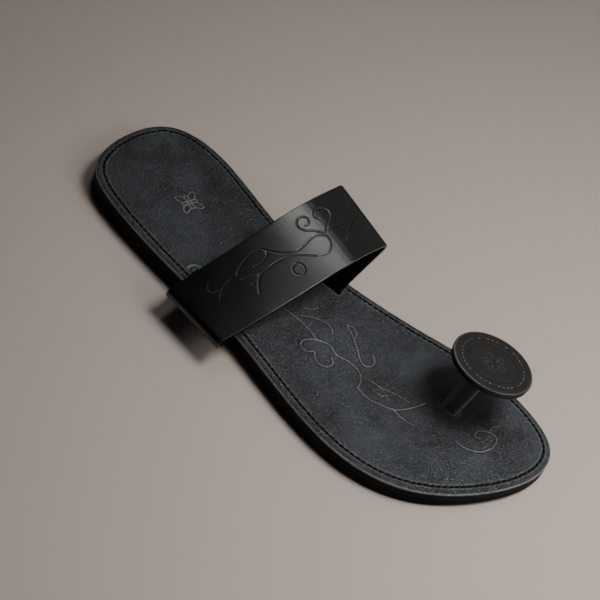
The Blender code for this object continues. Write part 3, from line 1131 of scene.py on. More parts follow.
@dataclass
class StitchTree:
    """A Geometry Nodes tree that sews a run of stitches along an object's edges."""

    name: str
    pitch: float
    length: float
    thickness: float
    slant: float
    kept: float = 1.0
    tree: bpy.types.NodeTree = field(init=False)

    def __post_init__(self) -> None:
        """Build the tree."""
        tree = bpy.data.node_groups.new(self.name, "GeometryNodeTree")
        face = tree.interface
        face.new_socket("Path", in_out="INPUT", socket_type=Socket.GEOMETRY.value)
        for label, value in (
            ("Pitch", self.pitch),
            ("Length", self.length),
            ("Thickness", self.thickness),
            ("Slant", self.slant),
            ("Kept", self.kept),
        ):
            made = face.new_socket(label, in_out="INPUT", socket_type=Socket.NUMBER.value)
            made.default_value = value
        face.new_socket("Thread", in_out="INPUT", socket_type=Socket.MATERIAL.value)
        face.new_socket("Stitches", in_out="OUTPUT", socket_type=Socket.GEOMETRY.value)
        nodes = NodeBuilder(tree)
        start = nodes.node("NodeGroupInput")
        end = nodes.node("NodeGroupOutput")
        curve = nodes.node("GeometryNodeMeshToCurve", {"Mesh": start.outputs["Path"]})
        even = nodes.node(
            "GeometryNodeResampleCurve",
            {"Curve": curve.outputs[0], "Length": start.outputs["Pitch"]},
            mode="LENGTH",
        )
        tangent = nodes.node("GeometryNodeInputTangent")
        aim = nodes.node("FunctionNodeAlignRotationToVector", {"Vector": tangent.outputs[0]}, axis="X")
        turn = nodes.node("ShaderNodeCombineXYZ", {2: start.outputs["Slant"]})
        turned = nodes.node(
            "FunctionNodeRotateRotation",
            {"Rotation": aim.outputs[0], "Rotate By": turn.outputs[0]},
            rotation_space="LOCAL",
        )
        half = nodes.math("MULTIPLY", start.outputs["Length"], 0.5)
        thick = nodes.math("MULTIPLY", start.outputs["Thickness"], 0.5)
        size = nodes.node("ShaderNodeCombineXYZ", {0: half, 1: thick, 2: thick})
        bead = nodes.node("GeometryNodeMeshUVSphere", {"Segments": 10, "Rings": 7, "Radius": 1.0})
        lying = {"Geometry": bead.outputs[0], "Rotation": (0.0, 1.5708, 0.0)}
        shaped = nodes.node("GeometryNodeTransform", lying)
        scaled = nodes.node(
            "GeometryNodeTransform", {"Geometry": shaped.outputs[0], "Scale": size.outputs[0]}
        )
        smooth = nodes.node("GeometryNodeSetShadeSmooth", {"Geometry": scaled.outputs[0]})
        chance = nodes.node("FunctionNodeRandomValue", {"Seed": 7}, data_type="FLOAT").outputs[1]
        chosen = nodes.math("LESS_THAN", chance, start.outputs["Kept"])
        placed = nodes.node(
            "GeometryNodeInstanceOnPoints",
            {
                "Points": even.outputs[0],
                "Selection": chosen,
                "Instance": smooth.outputs[0],
                "Rotation": turned.outputs[0],
            },
        )
        real = nodes.node("GeometryNodeRealizeInstances", {"Geometry": placed.outputs[0]})
        dyed = nodes.node(
            "GeometryNodeSetMaterial", {"Geometry": real.outputs[0], "Material": start.outputs["Thread"]}
        )
        tree.links.new(dyed.outputs[0], end.inputs[0])
        self.tree = tree

    def sew(self, name: str, path: np.ndarray, thread: bpy.types.Material) -> bpy.types.Object:
        """Sew stitches along a closed path.

        Args:
            name: The name of the new object.
            path: The path's points, one row each.
            thread: The thread's material.

        Returns:
            The stitches as one plain mesh.
        """
        count = len(path)
        mesh = bpy.data.meshes.new(name)
        mesh.from_pydata(path.tolist(), [(i, (i + 1) % count) for i in range(count)], [])
        thing = bpy.data.objects.new(name, mesh)
        bpy.context.collection.objects.link(thing)
        modifier = thing.modifiers.new("sew", "NODES")
        modifier.node_group = self.tree
        for item in self.tree.interface.items_tree:
            if item.item_type == "SOCKET" and item.in_out == "INPUT" and item.name == "Thread":
                modifier[item.identifier] = thread
        return settle(thing)


def rounded_corner(before: Vector, corner: Vector, after: Vector, radius: float, steps: int) -> list[Vector]:
    """Round a corner of a path.

    Args:
        before: The path's point before the corner.
        corner: The corner.
        after: The path's point after it.
        radius: The radius of the arc.
        steps: How many parts the arc is divided into.

    Returns:
        The arc's points.
    """
    back = (before - corner).normalized()
    ahead = (after - corner).normalized()
    half = back.angle(ahead) / 2.0
    centre = corner + (back + ahead).normalized() * (radius / math.sin(half))
    start = (corner + back * (radius / math.tan(half)) - centre).normalized()
    end = (corner + ahead * (radius / math.tan(half)) - centre).normalized()
    return [centre + start.slerp(end, step / steps) * radius for step in range(steps + 1)]


@dataclass(frozen=True)
class BandEdge:
    """How one edge of the band runs over the foot, from the outer fold to the inner one."""

    outer_out: float
    inner_out: float
    rise: float
    crown: float
    crown_peak: float
    bow: float


@dataclass
class InstepStrap:
    """The band over the instep, with rounded cut edges and pressed scrolls."""

    sole: SoleShape
    strokes: list[Stroke]
    wall: float = 0.0020
    width: float = 0.0366
    slit_inset: float = 0.0094
    branch_lift: float = 0.0005
    outer_fold_radius: float = 0.0021
    outer_fold_rise: float = 2.05
    inner_fold_radius: float = 0.0026
    outer_slit_bend: float = 0.0018
    inner_slit_bend: float = 0.0040
    outer_slit_place: float = 0.381
    outer_fold_place: float = 0.389
    inner_fold_place: float = 0.457
    inner_slit_place: float = 0.441
    rear: BandEdge = BandEdge(
        outer_out=0.0128, inner_out=0.0213, rise=0.0316, crown=0.0076, crown_peak=0.69, bow=0.0006
    )
    front: BandEdge = BandEdge(
        outer_out=0.0124, inner_out=0.0104, rise=0.0264, crown=0.0072, crown_peak=0.755, bow=0.0015
    )
    crown_power: float = 2.9
    clearance: float = 0.0003
    edge_round: float = 0.00045
    edge_wear: float = 0.0009
    under_wear: float = 0.6
    swells: tuple = ((0.00008, 0.034, 12), (0.00001, 0.010, 3))
    cell: float = 0.00036
    crown_steps: int = 40
    fold_steps: int = 12

    def corners(self, edge: BandEdge, shift: float) -> list[tuple[Vector, float]]:
        """Lay out one edge's path, from the outer tail to the inner.

        Args:
            edge: The edge's sizes.
            shift: How far along the sole the edge lies from the band's middle.

        Returns:
            The path's corners, each with its bend radius.
        """
        sole = self.sole
        y_out = sole.length * self.outer_slit_place + shift
        y_over = sole.length * self.outer_fold_place + shift
        y_in = sole.length * self.inner_fold_place + shift
        y_under = sole.length * self.inner_slit_place + shift
        x_out = sole.outer_edge(y_out) - self.slit_inset
        x_over = sole.outer_edge(y_over) + edge.outer_out + self.outer_fold_radius
        x_in = sole.inner_edge(y_in) - edge.inner_out - self.inner_fold_radius
        x_under = sole.inner_edge(y_under) + self.slit_inset
        branch = sole.top(y_over) + self.branch_lift + self.wall / 2.0
        upper = Vector((x_over, y_over, branch + self.outer_fold_rise * self.outer_fold_radius))
        peak = Vector((x_in, y_in, sole.top(y_in) + edge.rise))
        bend = sole.top(y_out) + self.branch_lift + self.wall / 2.0
        rows = [
            (Vector((x_out, y_out, sole.split(y_out))), 0.0),
            (Vector((x_out, y_out, bend)), self.outer_slit_bend),
            (Vector((x_over, y_over, branch)), self.outer_fold_radius),
            (upper, self.outer_fold_radius),
        ]
        for step in range(3, self.crown_steps - 2):
            share = step / self.crown_steps
            height = edge.crown * self.crown_share(share, edge.crown_peak)
            lift = Vector((0.0, edge.bow * math.sin(math.pi * share), height))
            rows.append((upper.lerp(peak, share) + lift, 0.0))
        rows += [
            (peak, self.inner_fold_radius),
            (Vector((x_under, y_under, sole.top(y_under) + self.wall)), self.inner_slit_bend),
            (Vector((x_under, y_under, sole.split(y_under))), 0.0),
        ]
        return rows

    def crown_share(self, share: float, peak: float) -> float:
        """Work out the band's bulge as a share of its straight climbs' height.

        Args:
            share: The place, as a share of the way over.
            peak: The place of the bulge's top, likewise.

        Returns:
            The bulge there.
        """
        climb = share / peak
        fall = (1.0 - share) / (1.0 - peak)
        return (climb**-self.crown_power + fall**-self.crown_power) ** (-1.0 / self.crown_power)

    def rounded(self, rows: list[tuple[Vector, float]]) -> np.ndarray:
        """Round a path's corners.

        Args:
            rows: The corners, each with its bend radius.

        Returns:
            The rounded path's points, one row each.
        """
        points = [rows[0][0]]
        for (before, _), (corner, radius), (after, _) in zip(rows, rows[1:], rows[2:]):
            if radius:
                points += rounded_corner(before, corner, after, radius, self.fold_steps)
            else:
                points.append(corner)
        return np.array([tuple(p) for p in points + [rows[-1][0]]])

    def paths(self) -> tuple[np.ndarray, np.ndarray]:
        """Work out the edges' paths, finely divided.

        Returns:
            The rear path and the front path, with matching points.
        """
        rear = self.rounded(self.corners(self.rear, -self.width / 2.0))
        front = self.rounded(self.corners(self.front, self.width / 2.0))
        fine_rear, fine_front = [], []
        for i in range(len(rear) - 1):
            reach = np.linalg.norm(rear[i + 1] - rear[i])
            parts = max(1, math.ceil(reach / self.cell))
            for step in range(parts):
                share = step / parts
                fine_rear.append(rear[i] * (1.0 - share) + rear[i + 1] * share)
                fine_front.append(front[i] * (1.0 - share) + front[i + 1] * share)
        return np.array([*fine_rear, rear[-1]]), np.array([*fine_front, front[-1]])

    def section(self) -> list[tuple[float, float, float]]:
        """Work out the band's section, with its underside divided a quarter as finely.

        Returns:
            Places across the band, heights off its middle and edge marks.
        """
        half, turn, width = self.wall / 2.0, self.edge_round, self.width
        columns = math.ceil((width - 2.0 * turn) / self.cell)
        flat = [turn + (width - 2.0 * turn) * k / columns for k in range(1, columns)]
        fall = [(turn * (1.0 - math.sin(a)), half - turn * (1.0 - math.cos(a))) for a in quarter_turn(5)]
        outer = [(across, height, 1.0) for across, height in fall[::-1]]
        outer += [(across, half, bell(min(across, width - across), 0.0, self.edge_wear)) for across in flat]
        outer += [(width - across, height, 1.0) for across, height in fall]
        coarse = [row for k, row in enumerate(outer) if row[1] < half or k % 4 == 0]
        return outer + [(across, -height, self.under_wear) for across, height, _ in coarse[::-1]]

    def face_places(self, rear: np.ndarray, front: np.ndarray) -> np.ndarray:
        """Measure each path point's length from the outer fold's top, along the band's middle.

        Args:
            rear: The rear path.
            front: The front path.

        Returns:
            The lengths.
        """
        middle = (rear + front) / 2.0
        run = np.r_[0.0, np.cumsum(np.linalg.norm(np.diff(middle, axis=0), axis=1))]
        return run - run[int(np.argmax(middle[:, 0]))]

    def build(self) -> bpy.types.Object:
        """Build the strap's mesh.

        Returns:
            The strap.
        """
        rear, front = self.paths()
        shares, heights, wear = np.array(self.section()).T
        shares = shares / self.width
        length, size = len(rear), len(shares)
        grid = rear[:, None, :] * (1.0 - shares)[None, :, None] + front[:, None, :] * shares[None, :, None]
        along = np.gradient(grid, axis=0)
        across = (front - rear)[:, None, :]
        normal = np.cross(np.broadcast_to(across, along.shape), along)
        normal /= np.linalg.norm(normal, axis=2)[:, :, None]
        run = self.face_places(rear, front)
        flat = np.column_stack([np.repeat(run, size), np.tile(shares * self.width, length)])
        outer_face = np.tile(heights > 0.0, length)
        press, mask, highlight_mark = press_field(flat, self.strokes, Press.GROOVE)
        relief = (np.where(outer_face, press, 0.0) + swells(flat, self.swells)).reshape(length, size)
        points = (grid + normal * (heights[None, :] + relief)[:, :, None]).reshape(-1, 3)
        faces = ring_faces(length, size)
        faces.append(tuple(range(size))[::-1])
        faces.append(tuple(range((length - 1) * size, length * size)))
        marks = {
            "edge": np.tile(wear, length),
            "press": np.where(outer_face, mask, 0.0),
            "highlight_mark": np.where(outer_face, highlight_mark, 0.0),
        }
        return make_mesh("strap_band", self.sole.placed(points), faces, marks)

    def slits(self) -> list[Slit]:
        """Work out the two slits that the band's ends go through.

        Returns:
            The outer and the inner slit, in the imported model's frame.
        """
        found = []
        rows = (self.corners(self.rear, -self.width / 2.0), self.corners(self.front, self.width / 2.0))
        for row in (0, -1):
            a, b = (np.array(rows[k][row][0])[:2] + self.sole.shift for k in (0, 1))
            reach = np.linalg.norm(b - a)
            grown = reach + 2.0 * self.clearance
            found.append(Slit((a + b) / 2.0, (b - a) / reach, grown, self.wall + 2.0 * self.clearance))
        return found


@dataclass
class ToeKnob:
    """The strip between the toes and the two discs that it carries."""

    sole: SoleShape
    place: float = 0.805
    inner_edge_gap: float = 0.0340
    post_width: float = 0.0094
    post_thickness: float = 0.0030
    post_round: float = 0.35
    post_edge_highlight: float = 0.55
    post_levels: int = 46
    twist: float = math.radians(7.0)
    lean_inward: float = math.radians(22.8)
    lean_forward: float = math.radians(8.4)
    height: float = 0.0304
    disc_radius: float = 0.0205
    disc_thickness: float = 0.0017
    disc_round: float = 0.0006
    disc_rings: int = 81
    disc_segments: int = 288
    rim_wear: float = 0.0003
    dome: float = 0.0002
    warp: float = 0.00012
    tilt_inward: float = math.radians(12.0)
    clearance: float = 0.0003
    ring_share: float = 0.62
    ring_width: float = 0.00042
    ring_depth: float = 0.00026
    stitch_share: float = 0.78
    stitch_sink: float = 0.00006
    groove_width: float = 0.0007
    groove_depth: float = 0.00014

    def __post_init__(self) -> None:
        """Work out the strip's foot, its lean and the disc's plane."""
        y = self.sole.length * self.place
        foot = np.array([self.sole.inner_edge(y) + self.inner_edge_gap, y]) + self.sole.shift
        self.base = Vector((*foot, self.sole.top(y)))
        self.lean = Vector((-math.tan(self.lean_inward), math.tan(self.lean_forward), 1.0))
        self.top = self.base + self.lean * self.height
        self.normal = Vector((-math.sin(self.tilt_inward), 0.0, math.cos(self.tilt_inward)))
        self.along = Vector((-math.sin(self.twist), math.cos(self.twist), 0.0))
        self.across = Vector((self.along.y, -self.along.x, 0.0))

    def slot(self) -> Slit:
        """Work out the slot in the insole that the strip goes through.

        Returns:
            The slot.
        """
        return Slit(
            np.array(self.base[:2]),
            np.array(self.along[:2]),
            self.post_width + 2.0 * self.clearance,
            self.post_thickness + 2.0 * self.clearance,
        )

    def strip_section(self) -> list[tuple[Vector, float]]:
        """Work out the section of the doubled strip, with the seam between its plies.

        Returns:
            Offsets from the strip's middle, each with its edge mark, a painted highlight.
        """
        half_width, ply = self.post_width / 2.0, self.post_thickness / 2.0
        flank = half_width - self.post_round * ply
        points = []
        # Edge marks here are painted highlights, full on the plies' rounded sides and weaker on two lines
        # near the edges of each flat face.
        for side in (1.0, -1.0):
            for part in (1.0, -1.0):
                centre = part * side * ply / 2.0
                for step in range(9):
                    angle = math.pi / 2.0 - math.pi * step / 8
                    turn = ply / 2.0 * math.sin(angle) * side
                    reach = flank + self.post_round * ply * math.cos(angle)
                    points.append((self.along * (reach * side) + self.across * (centre + turn), 1.0))
            for step in range(1, 12):
                edge = self.along * (flank * (1.0 - 2.0 * step / 12) * side)
                wear = self.post_edge_highlight if step in (2, 11) else 0.0
                points.append((edge + self.across * (-ply * side), wear))
        return points

    def strip(self) -> bpy.types.Object:
        """Build the strip between the toes.

        Returns:
            The strip.
        """
        plane = self.top - self.normal * (self.disc_thickness + self.clearance)
        section = self.strip_section()
        levels, size = self.post_levels, len(section)
        rings = []
        for offset, _ in section:
            foot = self.base + offset
            rise = (plane - foot).dot(self.normal) / self.lean.dot(self.normal)
            start = foot - self.lean * self.sole.insole_thickness
            end = foot + self.lean * rise
            rings.append([start.lerp(end, k / (levels - 1)) for k in range(levels)])
        points = np.array([[tuple(column[k]) for column in rings] for k in range(levels)]).reshape(-1, 3)
        faces = ring_faces(levels, size)
        faces.append(tuple(range(size))[::-1])
        faces.append(tuple(range((levels - 1) * size, levels * size)))
        marks = np.tile([mark for _, mark in section], levels)
        blank = np.zeros(len(points))
        return make_mesh("knob_strip", points, faces, {"edge": marks, "press": blank, "highlight_mark": blank})

    def frame(self) -> np.ndarray:
        """Return the disc's two flat axes and its normal as rows."""
        side = Vector((math.cos(self.tilt_inward), 0.0, math.sin(self.tilt_inward)))
        return np.array([tuple(side), tuple(self.normal.cross(side)), tuple(self.normal)])

    def disc_rows(self) -> list[tuple[float, float, float]]:
        """Work out the top disc's outline, from its middle over the rim to its underside.

        Returns:
            Rows of reach from the middle, height and edge mark.
        """
        turn, rings, floor = self.disc_round, self.disc_rings, -self.disc_thickness
        inner = self.disc_radius - turn
        rows = []
        # Edge marks here are thin painted highlights that also stand for rubbed edges: a narrow band inside
        # the rim, two lines on the top's rounding and weaker ones on the underside.
        for k in range(1, rings + 1):
            rows.append((inner * k / rings, 0.0, bell(inner * (1 - k / rings), 0.0, self.rim_wear)))
        arc = quarter_turn(6)
        for step, angle in enumerate(arc[1:], 1):
            drop = turn * (1.0 - math.cos(angle))
            rows.append((inner + turn * math.sin(angle), -drop, float(1 < step < 4)))
        for step, angle in enumerate(arc[:-1]):
            rise = turn * (1.0 - math.sin(angle))
            rows.append((inner + turn * math.cos(angle), floor + rise, float(0 < step < 3)))
        rows.append((inner, floor, 0.3))
        return rows

    def disc(self, strokes: list[Stroke]) -> bpy.types.Object:
        """Build the top disc, with its pressed ring, stitch groove and small centre motif.

        Args:
            strokes: The pressed lines of its face.

        Returns:
            The disc.
        """
        radius, segments, rows = self.disc_radius, self.disc_segments, self.disc_rows()
        reaches, levels, wear = np.array(rows).T
        angles = 2.0 * math.pi * np.arange(segments) / segments
        circle = np.column_stack([np.cos(angles), np.sin(angles)])
        flat = np.vstack([circle * reach for reach in reaches])
        upper = np.arange(len(flat)) < self.disc_rings * segments
        press, mask, highlight_mark = press_field(flat, strokes, Press.GROOVE)
        away = np.linalg.norm(flat, axis=1)
        groove = bell(away, self.stitch_share * radius, self.groove_width)
        ring = bell(away, self.ring_share * radius, self.ring_width)
        bulge = self.dome * (1.0 - (away / radius) ** 2) - self.warp * smooth_noise(flat, 0.02, 21) ** 2
        relief = press + bulge - self.groove_depth * groove - self.ring_depth * ring
        depth = np.repeat(levels, segments) + np.where(upper, relief, 0.0)
        local = np.vstack([[0.0, 0.0, self.dome], np.column_stack([flat, depth])])
        faces = [(0, 1 + i, 1 + (i + 1) % segments) for i in range(segments)]
        faces += [tuple(1 + corner for corner in face[::-1]) for face in ring_faces(len(rows), segments)]
        base = 1 + (len(rows) - 1) * segments
        faces.append(tuple(base + i for i in range(segments))[::-1])
        # The press mark paints shade in the petals' lines, the ring and, faintly, the stitch groove.
        pressed = np.maximum(mask, np.maximum(ring, 0.25 * groove))
        marks = {
            "edge": np.r_[0.0, np.repeat(wear, segments)],
            "press": np.r_[0.0, np.where(upper, pressed, 0.0)],
            "highlight_mark": np.r_[0.0, np.where(upper, highlight_mark, 0.0)],
        }
        return make_mesh("knob_disc", local @ self.frame() + np.array(self.top), faces, marks)

    def stitch_path(self, count: int = 96) -> np.ndarray:
        """Lay out the path of the disc's stitches.

        Args:
            count: How many points it has.

        Returns:
            The path's points, one row each.
        """
        angles = np.linspace(0.0, 2.0 * math.pi, count, endpoint=False)
        reach = self.stitch_share * self.disc_radius
        sink = np.full(count, -self.stitch_sink)
        local = np.column_stack([reach * np.cos(angles), reach * np.sin(angles), sink])
        return local @ self.frame() + np.array(self.top)


@dataclass
class Outsole:
    """The bottom layer of sole leather, with its burnished wall and score line."""

    sole: SoleShape
    gap: float = 0.0003
    top_round: float = 0.0002
    bottom_round: float = 0.0010
    score: tuple = ((0.3, 0.0), (0.52, 0.00002), (0.57, 0.00022), (0.62, 0.00002), (0.75, 0.0))
    wobble: float = 0.00006
    wobble_width: float = 0.018
    wobble_seed: int = 31

    def rows(self) -> list[tuple[float, float, float, float]]:
        """Work out the wall's rows, from the underside up.

        Returns:
            Rows of inset, share from underside to top, offset and edge mark.
        """
        rows = []
        for angle in quarter_turn(5):
            drop = self.bottom_round * (1.0 - math.cos(angle))
            rows.append((self.bottom_round * (1.0 - math.sin(angle)), 0.0, drop, 0.5))
        rows += [(inset, share, 0.0, 0.0) for share, inset in self.score]
        for angle in quarter_turn(4):
            drop = self.top_round * (1.0 - math.sin(angle))
            rows.append((self.top_round * (1.0 - math.cos(angle)), 1.0, -drop, 0.6))
        return rows

    def build(self) -> bpy.types.Object:
        """Build the outsole's mesh.

        Returns:
            The outsole.
        """
        sole, rows = self.sole, self.rows()
        size, half = 2 * sole.stations, sole.stations
        points = []
        for inset, share, offset, _ in rows:
            places = sole.inset(inset) + 5.0 * share
            wobble = self.wobble * smooth_noise(places, self.wobble_width, self.wobble_seed)
            flat = sole.inset(inset + self.wobble) + (wobble * (0.0 < share < 1.0))[:, None]
            low, high = sole.floor(flat[:, 1]), sole.split(flat[:, 1]) - self.gap
            points.append(np.column_stack([flat, low * (1.0 - share) + high * share + offset]))
        faces = ring_faces(len(rows), size)
        last = (len(rows) - 1) * size
        for base, flip in ((0, True), (last, False)):
            for i in range(1, half - 1):
                quad = (base + i, base + i + 1, base + size - i - 1, base + size - i)
                faces.append(quad[::-1] if flip else quad)
            heel, toe = (base, base + 1, base + size - 1), (base + half - 1, base + half, base + half + 1)
            faces += [heel[::-1], toe[::-1]] if flip else [heel, toe]
        blank = np.zeros(len(rows) * size)
        marks = {"edge": np.repeat([edge for *_, edge in rows], size), "press": blank, "highlight_mark": blank}
        return make_mesh("tread_sole", sole.placed(np.vstack(points)), faces, marks)


@dataclass
class Seams:
    """The footbed's stitched seam with the pale specks beside it, and the knob's ring of stitches."""

    bed: Footbed
    knob: ToeKnob
    pitch: float = 0.0031
    sink: float = 0.00022
    speck_shift: float = 0.00085
    speck_sink: float = 0.00006

    def path(self, inset: float, sink: float) -> np.ndarray:
        """Lay out a closed path along the footbed's top.

        Args:
            inset: How far inside the outline it runs.
            sink: How far below the top it lies.

        Returns:
            The path's points, one row each.
        """
        sole = self.bed.sole
        flat = sole.inset(inset)
        return sole.placed(np.column_stack([flat, sole.top(flat[:, 1]) - sink]))

    def seam(self, thread: bpy.types.Material) -> bpy.types.Object:
        """Sew the footbed's seam.

        Args:
            thread: The thread's material.

        Returns:
            The stitches.
        """
        stitches = StitchTree(
            "seam_stitches", pitch=self.pitch, length=0.0026, thickness=0.00125, slant=math.radians(13.0)
        )
        return stitches.sew("footbed_seam", self.path(self.bed.seam_inset, self.sink), thread)

    def specks(self, thread: bpy.types.Material) -> bpy.types.Object:
        """Lay the pale specks on the seam's inner side.

        Args:
            thread: The specks' material.

        Returns:
            The specks.
        """
        stitches = StitchTree(
            "seam_specks", pitch=self.pitch, length=0.0009, thickness=0.00055, slant=0.5, kept=0.50
        )
        path = self.path(self.bed.seam_inset + self.speck_shift, self.speck_sink)
        return stitches.sew("seam_dust", path, thread)

    def ring(self, thread: bpy.types.Material) -> bpy.types.Object:
        """Sew the knob's ring.

        Args:
            thread: The thread's material.

        Returns:
            The stitches.
        """
        stitches = StitchTree(
            "ring_stitches", pitch=0.0024, length=0.0013, thickness=0.00050, slant=0.0, kept=0.75
        )
        return stitches.sew("disc_seam", self.knob.stitch_path(), thread)


# The footbed's finish paints shade in its grain valleys and pressed lines, highlights on its raised lines,
# rim, seam edges and slit rims, and a sheen on its wrinkles.
FOOTBED_LEATHER = LeatherFinish(
    name="footbed_leather",
    base=(0.0110, 0.0146, 0.0169),
    lifted=(0.0600, 0.0712, 0.0790),
    edge_wear_and_highlight=(0.0300, 0.0310, 0.0310),
    roughness=0.40,
    roughness_spread=0.20,
    pebble_mm=1.2,
    crease=0.62,
    pore=0.22,
    grain_depth=0.00055,
    patch_mm=22.0,
    wear=0.9,
    patchy=0.2,
    edge_gloss=0.14,
    painted_groove_shade=1.0,
    highlight_strength=0.85,
    wrinkle_mm=1.1,
    wrinkle=0.27,
)
STRAP_LEATHER = LeatherFinish(
    name="strap_leather_smooth",
    base=(0.0026, 0.0027, 0.0023),
    lifted=(0.0036, 0.0037, 0.0032),
    edge_wear_and_highlight=(0.020, 0.019, 0.018),
    roughness=0.185,
    roughness_spread=0.03,
    pebble_mm=0.9,
    crease=0.40,
    pore=0.30,
    grain_depth=0.000018,
    dust=0.04,
    painted_groove_shade=0.3,
    highlight_strength=0.0,
    rub=0.0,
)
# The strip is the strap's own leather, painted many times lighter to stand in for the light on its faces;
# its rubbed-edge colour paints the highlights on its edges.
STRIP_LEATHER_PAINTED_LIT = LeatherFinish(
    name="strip_leather_painted_lit",
    base=(0.0750, 0.0790, 0.0950),
    lifted=(0.1000, 0.1040, 0.1220),
    edge_wear_and_highlight=(0.420, 0.415, 0.410),
    roughness=0.45,
    roughness_spread=0.08,
    pebble_mm=0.7,
    crease=0.30,
    pore=0.30,
    grain_depth=0.00008,
    patchy=0.5,
    wear=0.8,
)
# Its rubbed-edge colour also paints the thin highlight lines on the knob's rim.
KNOB_LEATHER = LeatherFinish(
    name="knob_leather_matt",
    base=(0.0034, 0.0032, 0.0029),
    lifted=(0.0060, 0.0056, 0.0050),
    edge_wear_and_highlight=(0.150, 0.140, 0.125),
    roughness=0.66,
    roughness_spread=0.08,
    pebble_mm=0.45,
    crease=0.30,
    pore=0.35,
    grain_depth=0.00016,
    dust=0.15,
    wear=0.9,
    patchy=0.6,
    highlight_strength=0.1,
)
SOLE_LEATHER = LeatherFinish(
    name="sole_leather_burnished",
    base=(0.0040, 0.0044, 0.0046),
    lifted=(0.0060, 0.0062, 0.0060),
    edge_wear_and_highlight=(0.0045, 0.0048, 0.0048),
    roughness=0.62,
    roughness_spread=0.12,
    pebble_mm=0.7,
    crease=0.22,
    pore=0.45,
    grain_depth=0.00012,
    dust=0.2,
    specular=0.08,
)
WALL_LEATHER = replace(
    SOLE_LEATHER,
    name="footbed_wall_burnished",
    base=(0.0040, 0.0043, 0.0044),
    lifted=(0.0075, 0.0080, 0.0082),
    edge_wear_and_highlight=(0.0050, 0.0054, 0.0055),
    # Highlight marks on the wall are painted highlights in this pale colour.
    highlight_strength=0.9,
    ridge=(0.30, 0.30, 0.29),
)
THREAD = LeatherFinish(
    name="waxed_thread",
    base=(0.0006, 0.0007, 0.0008),
    lifted=(0.0020, 0.0021, 0.0022),
    edge_wear_and_highlight=(0.030, 0.030, 0.029),
    roughness=0.60,
    roughness_spread=0.10,
    pebble_mm=0.20,
    crease=0.40,
    pore=0.30,
    grain_depth=0.00005,
    patch_mm=3.0,
    dust=0.1,
    specular=0.12,
)
PALE_THREAD = LeatherFinish(
    name="dusty_thread",
    base=(0.050, 0.048, 0.045),
    lifted=(0.420, 0.410, 0.390),
    edge_wear_and_highlight=(0.150, 0.145, 0.135),
    roughness=0.70,
    roughness_spread=0.10,
    pebble_mm=0.20,
    crease=0.40,
    pore=0.30,
    grain_depth=0.00004,
    patch_mm=4.0,
    dust=0.3,
)


FINISHES = (
    FOOTBED_LEATHER,
    STRAP_LEATHER,
    KNOB_LEATHER,
    SOLE_LEATHER,
    WALL_LEATHER,
    STRIP_LEATHER_PAINTED_LIT,
    THREAD,
    PALE_THREAD,
)


@dataclass(frozen=True)
class Softbox:
    """A square soft light: its place, what it faces, its side, its power per square metre, its beam."""

    name: str
    place: tuple[float, float, float]
    aim: tuple[float, float, float]
    size: float
    glow: float
    spread: float = 180.0

    def hang(self, colour: tuple[float, float, float]) -> None:
        """Hang the light.

        Args:
            colour: The colour of its light.
        """
        light = bpy.data.lights.new(self.name, "AREA")
        light.shape = "SQUARE"
        light.size = self.size
        light.energy = self.glow * self.size**2
        light.spread = math.radians(self.spread)
        light.color = colour
        thing = bpy.data.objects.new(self.name, light)
        thing.location = self.place
        thing.rotation_mode = "QUATERNION"
        thing.rotation_quaternion = (Vector(self.place) - Vector(self.aim)).to_track_quat("Z", "Y")
        bpy.context.collection.objects.link(thing)


SOFTBOXES = (
    # the main light hangs over the toe, and leaves the knob's shadow round the foot of its strip
    Softbox("top_light", (-0.12, 0.26, 0.80), (-0.03, 0.25, 0.0), 0.30, 14.5, 78.0),
    # a wider one ahead of the toe fills the forefoot
    Softbox("toe_light", (-0.08, 0.75, 0.65), (0.02, 0.17, 0.0), 0.45, 4.4, 110.0),
    # a small high one at the heel's inner side gives the gloss in the middle of the strap
    Softbox("gloss_light", (-0.36, -0.31, 1.34), (0.0, 0.0, 0.0), 0.31, 19.5),
    # a large dim one at the inner side keeps the inner fold and the rims readable
    Softbox("wall_light", (-1.00, 0.10, 0.95), (0.0, 0.0, 0.0), 1.0, 1.2),
    # a large faint one at the outer side shows the faces of the strip and of the outer fold
    Softbox("near_light", (1.00, 0.10, 0.70), (0.0, 0.0, 0.0), 0.9, 0.25),
)


